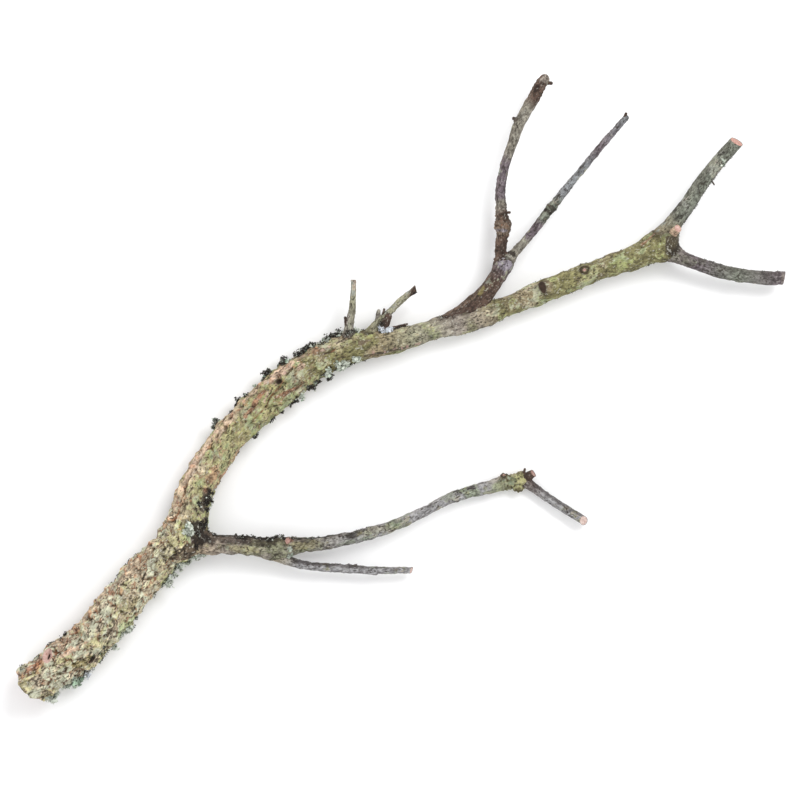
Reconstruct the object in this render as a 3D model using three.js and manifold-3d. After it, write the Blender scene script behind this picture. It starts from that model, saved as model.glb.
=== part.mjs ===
// A fallen branch of a broad-leaved tree, lying on a flat surface.
// Millimetres, +Z up. The origin is on the surface, under the middle of the branch's outline.
// +X runs from the butt towards the thin end, and +Y towards the upper twigs.
// The wood is parted at its main forks. Knots, stubs and lichen are fused to the limb they grow on.

import * as THREE from "three";
import { mergeVertices } from "three/addons/utils/BufferGeometryUtils.js";
import Module from "manifold-3d";

const wasm = await Module();
wasm.setup();

// Driving dimensions
const FORK_GAP = 0.3; // clearance between two pieces that meet at a fork
const BARK_CELL = 9; // size of one swelling of the bark
const COARSE_SHARE = 0.7; // how much of the relief is whole swellings
const SMALL_SHARE = 0.5; // and how much is bumps half that size
const PLATE_SIZE = 7.5; // width of one plate where the bark flakes off
const PLATE_STRETCH = 1.35; // how much longer than wide a plate is
const PLATE_RISE = 0.7; // how far one plate stands above or below the rest
const PLATE_TILT = 0.9; // and how far its end lifts, as a shingle's does
const PLATE_JITTER = 0.45; // how far a plate's middle strays, in plates
const STRAY_OFFSETS = [17, 34, 51]; // where the grid is read for how it strays in x, y and z
const WAVERS = [
  // how plates' edges waver: the size of the waves, how far they go, and where their noise is read
  { size: 9, reach: 2.2, offset: 50 },
  { size: 3, reach: 1.1, offset: 90 },
];
const OVAL = 0.05; // how far a section is from round
const OVAL_TURN = 60; // length over which the oval turns round the limb
const LUMP_UNEVEN = 0.4; // how uneven a knot or a tuft is
const LUMP_CELL = 0.8; // size of that unevenness, in half widths
const BALL_SIDES = 6; // faces round a lump or a pit
const BALL_BANDS = 3; // and from its top to its foot
const EDGE_SHARE = 0.97; // how far round its side a lump can sit, from 0 on top to 1
const ROUNDING = [[0.45, 0.86], [0.78, 0.52]]; // rings of a rounded end: how far on, how wide, in radii
const STUB_FOOT = 1.15; // a stub's width at its foot and its tip, against its stated radius
const STUB_TIP = 0.9;
const STUB_SIDES = 8;
const LIP_SIDES = 6; // faces round the lip of the scar, and along it
const LIP_STEPS = 12;
const SEARCH_STEPS = 400; // places tried along a limb to find the one nearest a point
const GROUND_DEPTH = 40; // thickness of the block that trims the underside
const GROUND_SIZE = 1200;

// Bark relief in mm: flaky at the butt, smooth on the twigs
const FLAKY = 3.2;
const ROUGH = 2.6;
const FIRM = 1.2;
const FINE = 0.5;

// Bark and wood colours
const FLAKY_BARK = 0x9c8a6e;
const GREEN_BARK = 0x8f8f66;
const GREY_TWIG = 0x7b766c;
const DARK_TWIG = 0x655c5a;

// The whole stem, from butt to end fork: x, y, z and radius of its centre line.
// It touches the ground behind the butt and past the middle of the bend.
const STEM = [
  [-335, -269, 17.6, 17.4],
  [-308, -249, 17.8, 18.9],
  [-284, -231, 18.6, 19.2],
  [-267, -212, 19.6, 18.7],
  [-251, -192, 20.2, 17.6],
  [-234, -172, 20.2, 16.7],
  [-217, -153, 19.8, 16.7],
  [-200, -134, 18.8, 17.1],
  [-191, -115, 18.4, 16.2],
  [-186, -96, 17.6, 15.3],
  [-176, -74, 16.8, 14.8],
  [-161, -51, 16.2, 14.4],
  [-143, -31, 15.8, 14.6],
  [-122, -12, 15.4, 14.8],
  [-101, 6, 15.0, 15.6],
  [-79, 21, 14.6, 15.6],
  [-58, 32, 14.4, 14.8],
  [-35, 38, 14.8, 13.5],
  [-10, 41, 15.6, 11.4],
  [17, 49, 16.4, 9.5],
  [44, 56, 17.0, 9.3],
  [71, 64, 17.4, 9.7],
  [99, 75, 18.0, 9.6],
  [126, 86, 18.5, 10.1],
  [152, 96, 19.0, 9.9],
  [179, 107, 19.5, 9.8],
  [206, 116, 20.0, 11.0],
  [226, 125, 20.5, 12.4],
  [238, 130, 21.0, 11.0],
];
const FIRST_FORK = 8; // the point of the stem just past the first fork
const SECOND_FORK = 19; // and just before the second

// Each limb: its centre line as above, sides and ring spacing of its surface, bark relief and whether its
// bark flakes off in plates, how it ends, and the neighbours that it is fitted to.
const LIMBS = [
  {
    name: "main_stem_base",
    route: STEM.slice(0, FIRST_FORK + 1),
    sides: 22,
    step: 5.5,
    relief: FLAKY,
    plated: true,
    end: "cut",
    colour: FLAKY_BARK,
    fittedTo: [],
  },
  {
    name: "main_stem_middle",
    route: STEM.slice(FIRST_FORK - 1, SECOND_FORK + 1),
    sides: 15,
    step: 7.6,
    relief: ROUGH,
    end: "cut",
    colour: GREEN_BARK,
    fittedTo: ["main_stem_base"],
  },
  {
    name: "main_stem_upper",
    route: STEM.slice(SECOND_FORK - 1),
    sides: 10,
    step: 8,
    relief: FIRM,
    end: "round",
    colour: GREEN_BARK,
    fittedTo: ["main_stem_middle"],
  },
  {
    name: "lower_limb",
    route: [
      [-196, -134, 19.0, 11.0],
      [-182, -139, 19.0, 10.4],
      [-170, -141, 18.7, 8.8],
      [-158, -141, 18.5, 8.1],
      [-136, -143, 18.0, 8.2],
      [-111, -144, 17.5, 8.9],
      [-91, -142, 17.2, 7.0],
      [-64, -139, 16.8, 5.8],
      [-36, -133, 16.2, 5.6],
      [-9, -125, 15.2, 5.0],
      [18, -113, 13.8, 4.6],
      [44, -100, 12.2, 4.9],
      [71, -92, 9.4, 5.6],
      [94, -86, 6.8, 6.4],
      [109, -83, 6.0, 7.2],
    ],
    sides: 8,
    step: 8,
    relief: FIRM,
    end: "round",
    colour: GREY_TWIG,
    fittedTo: ["main_stem_base", "main_stem_middle"],
  },
  {
    name: "lower_limb_side_twig",
    route: [
      [-120, -148, 16.0, 5.0],
      [-103, -156, 14.8, 4.1],
      [-82, -161, 13.6, 4.0],
      [-55, -163, 12.6, 4.0],
      [-28, -165, 12.0, 3.8],
      [-5, -165, 11.2, 3.2],
      [9, -165, 10.6, 3.1],
    ],
    sides: 7,
    step: 9,
    relief: FINE,
    end: "cut",
    colour: GREY_TWIG,
    fittedTo: ["lower_limb"],
  },
  {
    name: "lower_limb_tip_twig",
    route: [
      [110, -83, 6.6, 5.0],
      [125, -94, 7.2, 3.9],
      [142, -106, 8.4, 3.8],
      [165, -120, 10.0, 4.1],
    ],
    sides: 7,
    step: 7,
    relief: FINE,
    end: "cut",
    colour: DARK_TWIG,
    fittedTo: ["lower_limb"],
  },
  {
    name: "upper_limb",
    route: [
      [24, 51, 17.4, 5.0],
      [46, 62, 18.0, 6.2],
      [62, 73, 19.4, 7.3],
      [76, 86, 20.8, 7.7],
      [86, 100, 21.8, 8.1],
      [92, 111, 22.2, 7.6],
    ],
    sides: 8,
    step: 7,
    relief: FIRM,
    end: "round",
    colour: GREY_TWIG,
    fittedTo: ["main_stem_middle", "main_stem_upper"],
  },
  {
    name: "upper_limb_left_twig",
    route: [
      [90, 109, 22.2, 6.4],
      [89, 127, 22.4, 5.3],
      [91, 146, 22.0, 6.6],
      [90, 159, 21.6, 5.7],
      [89, 177, 21.0, 4.7],
      [93, 200, 21.0, 4.4],
      [99, 218, 21.4, 4.5],
      [106, 238, 22.0, 4.9],
      [118, 259, 22.6, 5.2],
      [128, 277, 23.0, 5.2],
    ],
    sides: 7,
    step: 9,
    relief: FINE,
    end: "round",
    colour: DARK_TWIG,
    fittedTo: ["upper_limb"],
  },
  {
    name: "upper_limb_right_twig",
    route: [
      [93, 111, 22.0, 5.6],
      [103, 123, 21.0, 4.2],
      [116, 138, 19.6, 3.6],
      [134, 161, 18.2, 4.2],
      [153, 185, 17.6, 3.6],
      [171, 207, 18.0, 3.3],
      [188, 227, 19.0, 3.2],
      [202, 243, 20.0, 2.7],
    ],
    sides: 6,
    step: 9,
    relief: FINE,
    end: "round",
    colour: GREY_TWIG,
    fittedTo: ["upper_limb", "upper_limb_left_twig"],
  },
  {
    name: "end_fork_left_twig",
    route: [
      [233, 130, 21.0, 10.0],
      [242, 144, 21.6, 8.0],
      [256, 163, 22.4, 6.7],
      [268, 181, 23.0, 6.4],
      [283, 201, 23.6, 6.1],
      [301, 221, 24.0, 6.4],
    ],
    sides: 8,
    step: 8,
    relief: FIRM,
    end: "cut",
    colour: GREY_TWIG,
    fittedTo: ["main_stem_upper"],
  },
  {
    name: "end_fork_right_twig",
    route: [
      [236, 127, 20.6, 9.4],
      [250, 118, 19.6, 6.8],
      [269, 111, 18.6, 5.9],
      [287, 105, 17.6, 6.1],
      [310, 101, 17.0, 5.7],
      [332, 99, 17.0, 6.0],
      [345, 99, 17.0, 5.7],
    ],
    sides: 8,
    step: 8,
    relief: FIRM,
    end: "cut",
    colour: DARK_TWIG,
    fittedTo: ["main_stem_upper", "end_fork_left_twig"],
  },
  {
    name: "short_spur_left",
    route: [
      [-48, 40, 20.0, 6.0],
      [-47, 56, 21.0, 4.0],
      [-44, 74, 23.0, 2.9],
      [-43, 97, 25.0, 2.5],
    ],
    sides: 6,
    step: 8,
    relief: FINE,
    end: "cut",
    colour: DARK_TWIG,
    fittedTo: ["main_stem_middle"],
  },
  {
    name: "short_spur_right",
    route: [
      [-34, 42, 19.0, 5.5],
      [-22, 58, 20.0, 3.4],
      [-10, 69, 21.0, 2.9],
      [-1, 78, 22.0, 2.8],
      [13, 89, 23.0, 3.2],
    ],
    sides: 6,
    step: 8,
    relief: FINE,
    end: "cut",
    colour: DARK_TWIG,
    fittedTo: ["main_stem_middle", "short_spur_left"],
  },
];

// Knots, nubs and lichen: the limb, x and y seen from above, then length along the limb, width and height.
// A place past the limb's edge is on its side.
const LUMPS = [
  ["main_stem_base", -289, -266, 22, 14, 18], // leafy lichen under the butt's edge
  ["main_stem_base", -308, -277, 14, 10, 8],
  ["main_stem_base", -273, -246, 14, 9, 9],
  ["main_stem_base", -257, -227, 15, 10, 9],
  ["main_stem_base", -196, -159, 20, 14, 20],
  ["main_stem_base", -229, -187, 12, 8, 6],
  ["main_stem_base", -322, -240, 15, 9, 5], // flaking plates beside the scar
  ["main_stem_base", -246, -170, 13, 9, 6],
  ["main_stem_middle", -170, -36, 13, 8, 7], // lichen on the outside of the bend
  ["main_stem_middle", -146, -12, 16, 8, 7],
  ["main_stem_middle", -121, 12, 18, 9, 7],
  ["main_stem_middle", -98, 30, 13, 8, 9],
  ["main_stem_middle", -76, 40, 18, 9, 8],
  ["main_stem_middle", -131, -38, 15, 8, 7], // and on its inside
  ["main_stem_middle", -107, -17, 18, 8, 6],
  ["main_stem_middle", -66, 8, 18, 10, 14],
  ["main_stem_middle", -182, -121, 12, 10, 8],
  ["main_stem_middle", -51, 47, 24, 13, 20], // collar of the two spurs
  ["main_stem_middle", -24, 53, 22, 11, 16],
  ["main_stem_upper", 127, 89, 13, 8, 6], // oval knot
  ["main_stem_upper", 165, 105, 8, 8, 5],
  ["main_stem_upper", 73, 73, 9, 7, 7], // bud in the crotch
  ["lower_limb", -149, -134, 8, 6, 6],
  ["lower_limb", -109, -136, 13, 8, 8],
  ["lower_limb", 92, -80, 8, 8, 7], // knobs of the knuckle
  ["lower_limb", 104, -91, 8, 8, 8],
  ["upper_limb_left_twig", 92, 146, 15, 12, 4], // swollen node
  ["upper_limb_left_twig", 104, 241, 7, 5, 6],
  ["upper_limb_right_twig", 162, 198, 7, 5, 6],
  ["end_fork_left_twig", 290, 207, 12, 6, 7],
  ["end_fork_right_twig", 304, 96, 8, 5, 6],
];

// Cut or torn stubs: the limb, the foot, the tip and the radius.
const STUBS = [
  ["main_stem_upper", [240, 136, 24], [247, 142, 36], 3.8],
  ["lower_limb", [-101, -141, 20], [-100, -133, 24], 3.2],
  ["lower_limb", [112, -82, 8], [120, -77, 11], 3.8],
  ["upper_limb_left_twig", [128, 274, 23], [136, 273, 24], 2.4],
  ["upper_limb_left_twig", [90, 157, 22], [99, 158, 24], 1.8],
  ["main_stem_middle", [-18, 50, 19], [-13, 62, 22], 4.2],
  ["short_spur_right", [-22, 60, 20], [-19, 70, 22], 1.8],
];

// Pits: the limb, the centre and the half size in x, y and z.
const PITS = [
  ["main_stem_base", [-318, -243, 35], [3.0, 3.6, 4]], // heart of the pruning scar
  ["main_stem_base", [-276, -242, 32], [3.0, 2.4, 5]],
  ["main_stem_middle", [-110, 5, 33], [2.8, 2.6, 5]], // knot hole
];

// A raised lip that has grown round an old pruning cut: its centre, the way it faces, the way it is
// stretched along the limb, and its radii.
const SCAR = {
  limb: "main_stem_base",
  centre: [-318, -243, 32.5],
  outward: [-0.45, 0.35, 1],
  along: [0.8, 0.6, 0],
  radius: 4.6,
  lip: 2.2,
  stretch: 1.35,
};

const UP = new THREE.Vector3(0, 0, 1);

// Turns any closed three.js geometry into a solid that can be joined and cut.
function solidOf(geometry) {
  const bare = geometry.clone();
  bare.deleteAttribute("normal");
  bare.deleteAttribute("uv");
  const merged = mergeVertices(bare, 1e-4);
  return new wasm.Manifold(
    new wasm.Mesh({
      numProp: 3,
      vertProperties: merged.attributes.position.array,
      triVerts: new Uint32Array(merged.index.array),
    }),
  );
}

// A repeatable value between -1 and 1 for each point of a whole-number grid.
function gridValue(i, j, k) {
  const value = Math.sin(i * 127.1 + j * 311.7 + k * 74.7) * 43758.5453;
  return 2 * (value - Math.floor(value)) - 1;
}

// Smooth noise: the grid values round a point, blended by its distance to each.
function noise(point, cell) {
  const [x, y, z] = point.toArray().map((v) => v / cell);
  const [i, j, k] = [x, y, z].map(Math.floor);
  const [u, v, w] = [x - i, y - j, z - k].map((f) => f * f * (3 - 2 * f));
  let sum = 0;
  for (const [a, wa] of [[0, 1 - u], [1, u]])
    for (const [b, wb] of [[0, 1 - v], [1, v]])
      for (const [c, wc] of [[0, 1 - w], [1, w]])
        sum += wa * wb * wc * gridValue(i + a, j + b, k + c);
  return sum;
}

// The centre line of a limb, and its radius along the same parameter.
function course(limb) {
  const line = (points) => new THREE.CatmullRomCurve3(points, false, "catmullrom");
  return {
    path: line(limb.route.map(([x, y, z]) => new THREE.Vector3(x, y, z))),
    girth: line(limb.route.map(([, , , r]) => new THREE.Vector3(r, 0, 0))),
  };
}

// How far a flaking plate of bark stands out at a point of the straightened limb: the distance walked, and
// the two coordinates of its ring. The nearest of many scattered middles says which plate the point is on.
function plateHeight(point) {
  const bent = point.clone();
  for (const { size, reach, offset } of WAVERS) {
    const wave = [0, 1, 2].map((k) => noise(point.clone().addScalar(k * offset), size));
    bent.addScaledVector(new THREE.Vector3(...wave), reach);
  }
  bent.x /= PLATE_STRETCH;
  bent.divideScalar(PLATE_SIZE);
  const corner = bent.clone().floor();
  let nearest = { distance: Infinity };
  for (const i of [-1, 0, 1])
    for (const j of [-1, 0, 1])
      for (const k of [-1, 0, 1]) {
        const cell = corner.clone().add(new THREE.Vector3(i, j, k));
        const stray = STRAY_OFFSETS.map((n) => gridValue(...cell.toArray().map((v) => v + n)));
        const middle = cell.clone().addScalar(0.5).addScaledVector(new THREE.Vector3(...stray), PLATE_JITTER);
        const distance = middle.distanceTo(bent);
        if (distance < nearest.distance) nearest = { distance, cell, middle };
      }
  return PLATE_RISE * gridValue(...nearest.cell.toArray()) + PLATE_TILT * (nearest.middle.x - bent.x);
}

// One ring of a limb's surface, at a distance walked along it: an oval section, roughened by the bark's
// relief, that grows by a clearance.
function ring(limb, walked, centre, along, radius, grow) {
  const left = new THREE.Vector3().crossVectors(UP, along).normalize();
  const over = new THREE.Vector3().crossVectors(along, left);
  const turn = noise(centre, OVAL_TURN) * Math.PI;
  const points = [];
  for (let i = 0; i < limb.sides; i++) {
    const angle = (2 * Math.PI * i) / limb.sides;
    const out = over.clone().multiplyScalar(Math.cos(angle)).addScaledVector(left, Math.sin(angle));
    const shape = radius * (1 + OVAL * Math.cos(2 * (angle - turn)));
    const skin = centre.clone().addScaledVector(out, shape);
    const cell = Math.min(BARK_CELL, radius);
    const swelling = COARSE_SHARE * noise(skin, cell) + SMALL_SHARE * noise(skin, cell / 2);
    const flat = new THREE.Vector3(walked, shape * Math.cos(angle), shape * Math.sin(angle));
    const bark = limb.relief * swelling + (limb.plated ? plateHeight(flat) : 0);
    points.push(skin.addScaledVector(out, bark + grow));
  }
  return points;
}

// A limb's closed surface: rings along its course, closed by a flat cut or a rounded end.
function limbSurface(limb, grow) {
  const { path, girth } = course(limb);
  const length = path.getLength();
  const count = Math.round(length / limb.step);
  const rings = [];
  for (let i = 0; i <= count; i++) {
    const t = path.getUtoTmapping(i / count);
    const along = path.getTangent(t);
    const push = i === 0 ? -grow : i === count ? grow : 0;
    const centre = path.getPoint(t).addScaledVector(along, push);
    rings.push(ring(limb, (length * i) / count, centre, along, girth.getPoint(t).x, grow));
  }
  const tip = path.getPoint(1);
  const ahead = path.getTangent(1);
  const endRadius = girth.getPoint(1).x;
  if (limb.end === "round")
    for (const [on, wide] of ROUNDING) {
      const centre = tip.clone().addScaledVector(ahead, on * endRadius + grow);
      rings.push(ring(limb, length + on * endRadius, centre, ahead, wide * endRadius, grow));
    }
  const reach = limb.end === "round" ? endRadius : 0;
  const first = path.getPoint(0).addScaledVector(path.getTangent(0), -grow);
  const last = tip.addScaledVector(ahead, reach + grow);
  return closedTube(rings, first, last);
}

// Joins rings of equal length into one closed surface with a point at each end.
function closedTube(rings, first, last) {
  const sides = rings[0].length;
  const vertices = [...rings.flat(), first, last];
  const start = rings.length * sides;
  const faces = [];
  for (let i = 0; i < sides; i++) {
    const next = (i + 1) % sides;
    faces.push(start, i, next);
    for (let j = 0; j + 1 < rings.length; j++) {
      const a = j * sides + i;
      const b = j * sides + next;
      faces.push(a, a + sides, b, b, a + sides, b + sides);
    }
    const end = (rings.length - 1) * sides;
    faces.push(start + 1, end + next, end + i);
  }
  return new THREE.BufferGeometry().setFromPoints(vertices).setIndex(faces);
}

// The place on a limb's skin under a point seen from above, with the skin's direction there.
function skinAt(limb, x, y) {
  const { path, girth } = course(limb);
  let best = { distance: Infinity };
  for (let i = 0; i <= SEARCH_STEPS; i++) {
    const t = i / SEARCH_STEPS;
    const centre = path.getPoint(t);
    const distance = Math.hypot(centre.x - x, centre.y - y);
    if (distance < best.distance) best = { distance, centre, t };
  }
  const radius = girth.getPoint(best.t).x;
  const share = Math.min(best.distance / radius, EDGE_SHARE);
  const aside = new THREE.Vector3(x - best.centre.x, y - best.centre.y, 0).normalize();
  const out = aside.multiplyScalar(share).addScaledVector(UP, Math.sqrt(1 - share * share));
  const place = best.centre.clone().addScaledVector(out, radius);
  return { place, out, along: path.getTangent(best.t) };
}

// Moves a geometry made round the origin so that its Z points outwards and its X along the limb.
function setOn(geometry, place, out, along) {
  const across = new THREE.Vector3().crossVectors(out, along).normalize();
  const forward = new THREE.Vector3().crossVectors(across, out);
  const turned = new THREE.Matrix4().makeBasis(forward, across, out).setPosition(place);
  return geometry.applyMatrix4(turned);
}

// A knot or a tuft of lichen: an uneven ball half sunk in the bark.
function lump(limb, x, y, size, grow) {
  const { place, out, along } = skinAt(limb, x, y);
  const ball = new THREE.SphereGeometry(1, BALL_SIDES, BALL_BANDS);
  ball.rotateX(Math.PI / 2);
  const position = ball.attributes.position;
  const point = new THREE.Vector3();
  for (let i = 0; i < position.count; i++) {
    point.fromBufferAttribute(position, i);
    const uneven = 1 + LUMP_UNEVEN * noise(point.clone().addScalar(x), LUMP_CELL);
    point.multiplyScalar(uneven);
    position.setXYZ(i, ...point.toArray().map((v, axis) => v * (size[axis] / 2 + grow)));
  }
  return solidOf(setOn(ball, place, out, along));
}

// A straight stub, a little thinner at its flat end.
function stub(foot, tip, radius, grow) {
  const from = new THREE.Vector3(...foot);
  const to = new THREE.Vector3(...tip);
  const axis = to.clone().sub(from);
  const height = axis.length() + 2 * grow;
  const tipRadius = STUB_TIP * radius + grow;
  const footRadius = STUB_FOOT * radius + grow;
  const rod = new THREE.CylinderGeometry(tipRadius, footRadius, height, STUB_SIDES);
  rod.rotateX(Math.PI / 2);
  const middle = from.clone().lerp(to, 0.5);
  return solidOf(setOn(rod, middle, axis.normalize(), new THREE.Vector3(0, 1, 0.01)));
}

// A small hollow in the bark.
function pit(centre, halfSize) {
  const ball = new THREE.SphereGeometry(1, BALL_SIDES, BALL_BANDS);
  ball.scale(...halfSize);
  ball.translate(...centre);
  return solidOf(ball);
}

// The lip of bark round the pruning scar: a ring of round section, stretched along the limb.
function scarLip(grow) {
  const lip = SCAR.lip + grow;
  const profile = [];
  for (let i = 0; i <= LIP_SIDES; i++) {
    const angle = (2 * Math.PI * i) / LIP_SIDES;
    profile.push(new THREE.Vector2(SCAR.radius + lip * Math.cos(angle), lip * Math.sin(angle)));
  }
  const collar = new THREE.LatheGeometry(profile, LIP_STEPS);
  collar.rotateX(Math.PI / 2);
  collar.scale(SCAR.stretch, 1, 1);
  const centre = new THREE.Vector3(...SCAR.centre);
  const out = new THREE.Vector3(...SCAR.outward).normalize();
  return solidOf(setOn(collar, centre, out, new THREE.Vector3(...SCAR.along)));
}

// A limb with all that grows on it, grown by a clearance where it has to make room for a neighbour.
function dressedLimb(limb, grow = 0) {
  let body = solidOf(limbSurface(limb, grow));
  for (const [owner, x, y, ...size] of LUMPS)
    if (owner === limb.name) body = body.add(lump(limb, x, y, size, grow));
  for (const [owner, foot, tip, radius] of STUBS)
    if (owner === limb.name) body = body.add(stub(foot, tip, radius, grow));
  if (SCAR.limb === limb.name) body = body.add(scarLip(grow));
  return body;
}

// The block under the branch, whose top is the surface that it lies on.
function groundBlock() {
  const block = new THREE.BoxGeometry(GROUND_SIZE, GROUND_SIZE, GROUND_DEPTH);
  return solidOf(block.translate(0, 0, -GROUND_DEPTH / 2));
}

// The finished solid of a limb: fitted to its neighbours, pitted, and worn flat where it lies on the ground.
function fittedLimb(limb, ground) {
  let body = dressedLimb(limb);
  for (const [owner, centre, halfSize] of PITS)
    if (owner === limb.name) body = body.subtract(pit(centre, halfSize));
  for (const neighbour of LIMBS)
    if (limb.fittedTo.includes(neighbour.name)) body = body.subtract(dressedLimb(neighbour, FORK_GAP));
  const pieces = body.subtract(ground).decompose();
  return pieces.reduce((largest, piece) => (piece.volume() > largest.volume() ? piece : largest));
}

function meshOf(limb, solid) {
  const { numProp, vertProperties, triVerts } = solid.getMesh();
  const geometry = new THREE.BufferGeometry()
    .setAttribute("position", new THREE.BufferAttribute(vertProperties, numProp))
    .setIndex(new THREE.BufferAttribute(triVerts, 1));
  geometry.computeVertexNormals();
  const bark = new THREE.MeshStandardMaterial({
    color: limb.colour,
    roughness: 0.9,
    metalness: 0,
    flatShading: true,
  });
  const mesh = new THREE.Mesh(geometry, bark);
  mesh.name = limb.name;
  return mesh;
}

const branch = new THREE.Group();
branch.name = "fallen_branch";
const ground = groundBlock();
for (const limb of LIMBS) {
  branch.add(meshOf(limb, fittedLimb(limb, ground)));
}

export default branch;
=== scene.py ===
# %% [markdown]
# # A fallen branch, seen from straight above
# The branch is about 0.7 m long: a thick butt with flaky bark, a long bend, and thinner limbs that end in
# twigs. The solid model already holds every limb at its real size. This lesson gives each limb its living
# surface: bark plates, cracks, knots, lichen and cut ends. All sizes are in millimetres and become metres
# in the meshes.

# %% Load the solid model
import bpy
import numpy as np
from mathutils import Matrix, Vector


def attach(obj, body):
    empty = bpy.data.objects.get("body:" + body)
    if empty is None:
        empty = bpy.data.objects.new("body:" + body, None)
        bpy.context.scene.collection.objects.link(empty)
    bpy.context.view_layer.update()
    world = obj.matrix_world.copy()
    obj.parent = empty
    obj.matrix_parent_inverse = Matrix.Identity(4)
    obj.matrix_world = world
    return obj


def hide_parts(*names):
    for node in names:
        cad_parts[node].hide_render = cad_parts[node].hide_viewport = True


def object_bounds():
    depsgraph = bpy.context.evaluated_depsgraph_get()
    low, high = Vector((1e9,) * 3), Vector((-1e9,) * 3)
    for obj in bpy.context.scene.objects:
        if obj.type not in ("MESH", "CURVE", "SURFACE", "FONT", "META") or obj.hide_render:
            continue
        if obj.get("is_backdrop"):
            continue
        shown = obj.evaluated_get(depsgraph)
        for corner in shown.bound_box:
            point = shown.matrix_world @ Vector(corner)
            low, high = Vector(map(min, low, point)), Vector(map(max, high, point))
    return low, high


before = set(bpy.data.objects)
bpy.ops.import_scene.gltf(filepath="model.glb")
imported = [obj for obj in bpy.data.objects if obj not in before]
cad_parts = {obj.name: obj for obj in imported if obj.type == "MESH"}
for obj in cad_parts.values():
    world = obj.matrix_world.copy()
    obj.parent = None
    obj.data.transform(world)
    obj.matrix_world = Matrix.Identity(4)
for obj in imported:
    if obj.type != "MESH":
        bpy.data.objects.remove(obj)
cad_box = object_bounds()
MM = 0.001
rng = np.random.default_rng(27)
print("solid model:", len(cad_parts), "limbs")

# %% [markdown]
# ## Noise
# Bark is uneven at many sizes at once. Two kinds of noise give that: a smooth one for swellings and colour,
# and a cell noise, which parts space into uneven cells as drying bark parts into plates. They are worked
# out here as whole arrays, so the same numbers shape the mesh and colour it.

# %% Smooth noise and cell noise
def lattice(cell):
    """A repeatable value from -1 to 1 for each whole-number grid point: the fraction of a large sine."""
    value = np.sin(cell @ np.array([127.1, 311.7, 74.7])) * 43758.5453
    return 2 * (value - np.floor(value)) - 1


def noise(points, size):
    """Smooth noise: the grid values round a point, blended by its distance to each."""
    spot = points / size
    corner = np.floor(spot)
    part = spot - corner
    part = part * part * (3 - 2 * part)
    total = 0.0
    for step in np.ndindex(2, 2, 2):
        weight = np.prod(np.where(step, part, 1 - part), axis=-1)
        total = total + weight * lattice(corner + step)
    return total


def layered(points, size, layers=3):
    """Noise at one size, plus half as much at half the size, and so on."""
    return sum(noise(points + 31 * k, size / 2**k) / 2**k for k in range(layers))


def plates(points, seed):
    """Cells of about unit size round scattered middles. Returns the distance in to the cell's border, the
    cell's own value from -1 to 1, and the way from the point to the cell's middle."""
    base = np.floor(points)
    near = np.full(points.shape[:-1], 9.0)
    second = near.copy()
    value = np.zeros_like(near)
    way = np.zeros_like(points)
    for step in np.ndindex(3, 3, 3):
        cell = base + step - 1
        middle = np.stack([lattice(cell + seed + 17 * k) for k in range(1, 4)], axis=-1)
        gap = cell + 0.5 + 0.45 * middle - points
        distance = np.linalg.norm(gap, axis=-1)
        closer = distance < near
        second = np.where(closer, near, np.minimum(second, distance))
        value = np.where(closer, lattice(cell + seed), value)
        way = np.where(closer[..., None], gap, way)
        near = np.where(closer, distance, near)
    return second - near, value, way


def ease(low, high, value):
    """0 below low, 1 above high, and a smooth step between."""
    share = np.clip((value - low) / (high - low), 0, 1)
    return share * share * (3 - 2 * share)


trial = noise(np.linspace([0, 0, 0], [90, 40, 70], 1000), 1.0)
print("smooth noise runs from", trial.min().round(2), "to", trial.max().round(2))
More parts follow.
